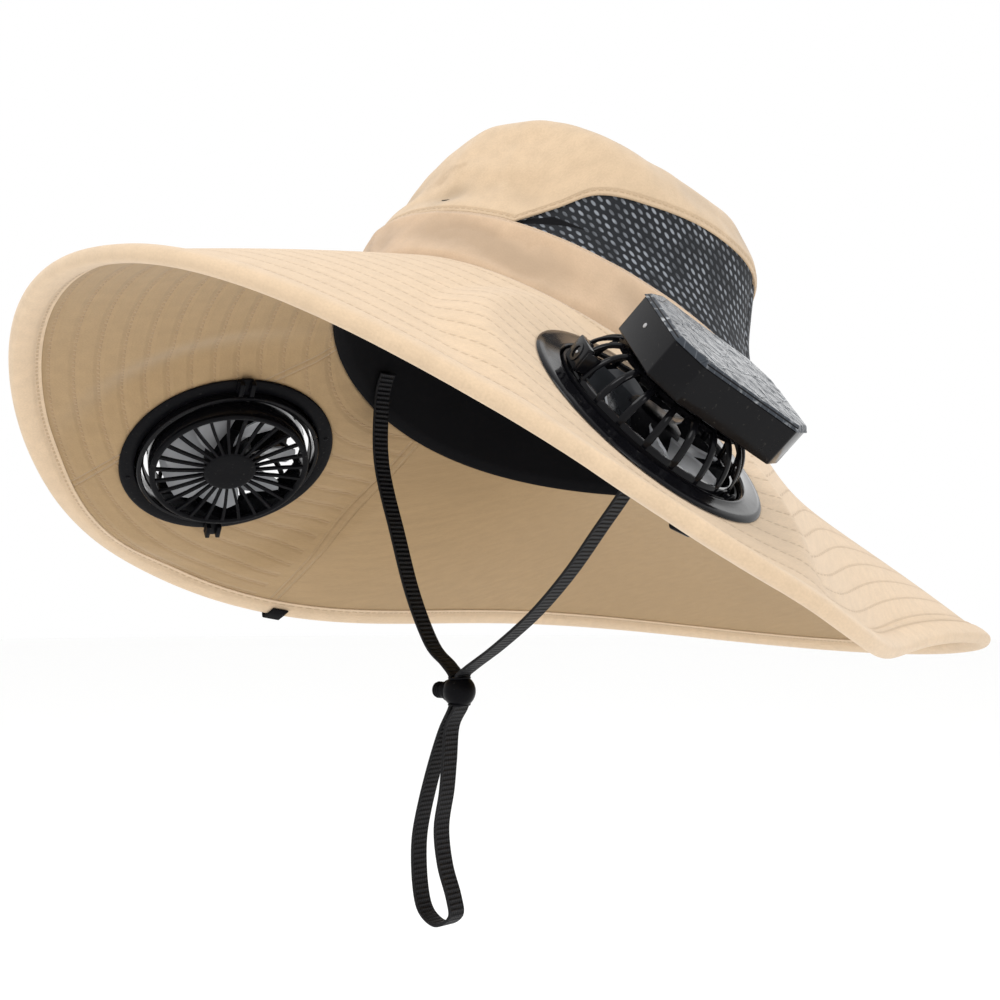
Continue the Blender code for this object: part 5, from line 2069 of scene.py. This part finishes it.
    def film(self, wardrobe: Wardrobe) -> None:
        """Make the wrinkled clear film over the cell, folded down at the box's edge."""
        length, width = self.box_length + 2 * self.film_overhang, self.box_width + 2 * self.film_overhang
        top = self.box_height + 0.0006
        bm = bmesh.new()
        layer = bm.loops.layers.uv.new("metres")
        bmesh.ops.create_grid(bm, x_segments=110, y_segments=80, size=0.5)
        bmesh.ops.scale(bm, vec=(length, width, 1.0), verts=bm.verts)
        for right in (-1, 1):
            for ahead in (-1, 1):
                cut = self.box_chamfer / 2
                corner = Vector((right * (length / 2 - cut), ahead * (width / 2 - cut), 0))
                whole = list(bm.verts) + list(bm.edges) + list(bm.faces)
                bmesh.ops.bisect_plane(bm, geom=whole, plane_co=corner, clear_outer=True,
                                       plane_no=Vector((right, ahead, 0)).normalized())
        diagonal = (length + width) / 2 - self.box_chamfer
        for vert in bm.verts:
            for loop in vert.link_loops:
                loop[layer].uv = (vert.co.x, vert.co.y)
            inside = min(length / 2 - abs(vert.co.x), width / 2 - abs(vert.co.y),
                         (diagonal - abs(vert.co.x) - abs(vert.co.y)) / math.sqrt(2))
            folded = smooth_step(inside / 0.0016)
            spot = Vector((vert.co.x * 150, vert.co.y * 150, self.side * 3.0))
            wrinkle = noise.fractal(spot, 0.8, 2.0, 3) * 0.0004 * smooth_step(inside / 0.004)
            vert.co.z = top - 0.0016 * (1 - folded) + wrinkle
        face_up(bm, lambda centre: UP)
        bmesh.ops.solidify(bm, geom=list(bm.faces), thickness=0.0003)
        self.deliver("film_sheet", "solar_cell", "solar_film",
                     bm, [wardrobe.film], self.box_frame(), self.body(), sharp=60.0)

    def port(self, wardrobe: Wardrobe) -> None:
        """Make the charging port's housing with its round socket."""
        size = self.sizes
        reach = size.head_radius + size.gap + self.port_depth / 2
        middle = size.dome_start + 0.0010 + self.port_height / 2
        bm = block((self.port_depth, self.port_width, self.port_height), 0.0, 0.0005)
        face = self.port_depth / 2
        boss = turned((
            (self.socket_radius, 0.0), (self.socket_radius + 0.0011, 0.0),
            (self.socket_radius + 0.0013, -0.0008), (self.socket_radius + 0.0013, -0.0016),
            (self.socket_radius, -0.0016)), 40)
        absorb(bm, boss, Matrix.Translation((face + 0.0004, 0, 0)) @ Matrix.Rotation(math.pi / 2, 4, "Y"))
        floor = rod(self.socket_radius, face - 0.0012, face - 0.0001, 32)
        absorb(bm, floor, slot=1)
        pin = rod(0.0006, face - 0.0010, face + 0.0003, 16, 0.0002)
        absorb(bm, pin, slot=2)
        for across in (-1, 1):
            cheek = block((0.0060, 0.0012, self.port_height * 0.8), 0.0, 0.0003)
            absorb(bm, cheek, Matrix.Translation((-0.0022, across * (self.port_width / 2 + 0.0004), 0)))
        spot = Matrix.Rotation(-self.side * self.port_turn, 4, "Z") @ Matrix.Translation((reach, 0, middle))
        self.deliver("port_housing", "charge_port", "glossy_black",
                     bm, [wardrobe.polished, wardrobe.lining, wardrobe.steel],
                     self.head_frame() @ spot, self.body())


def as_lists(bounds: Iterable) -> list[list[float]]:
    """Corners of a box as plain lists."""
    return [[float(value) for value in corner] for corner in bounds]


def main() -> None:
    """Build the whole hat in order."""
    logging.basicConfig(level=logging.INFO, format="%(message)s")
    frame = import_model()
    cad_box = as_lists(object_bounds())
    joints = {joint["name"]: joint for joint in frame["joints"]}
    Studio().build(cad_box[0][2])
    wardrobe = Wardrobe()
    ChinStrap().build(wardrobe)
    Brim().build(wardrobe)
    Crown().build(wardrobe)
    for name, side in SIDES.items():
        Fan(name, side, joints).build(wardrobe)


if __name__ == "__main__":
    main()
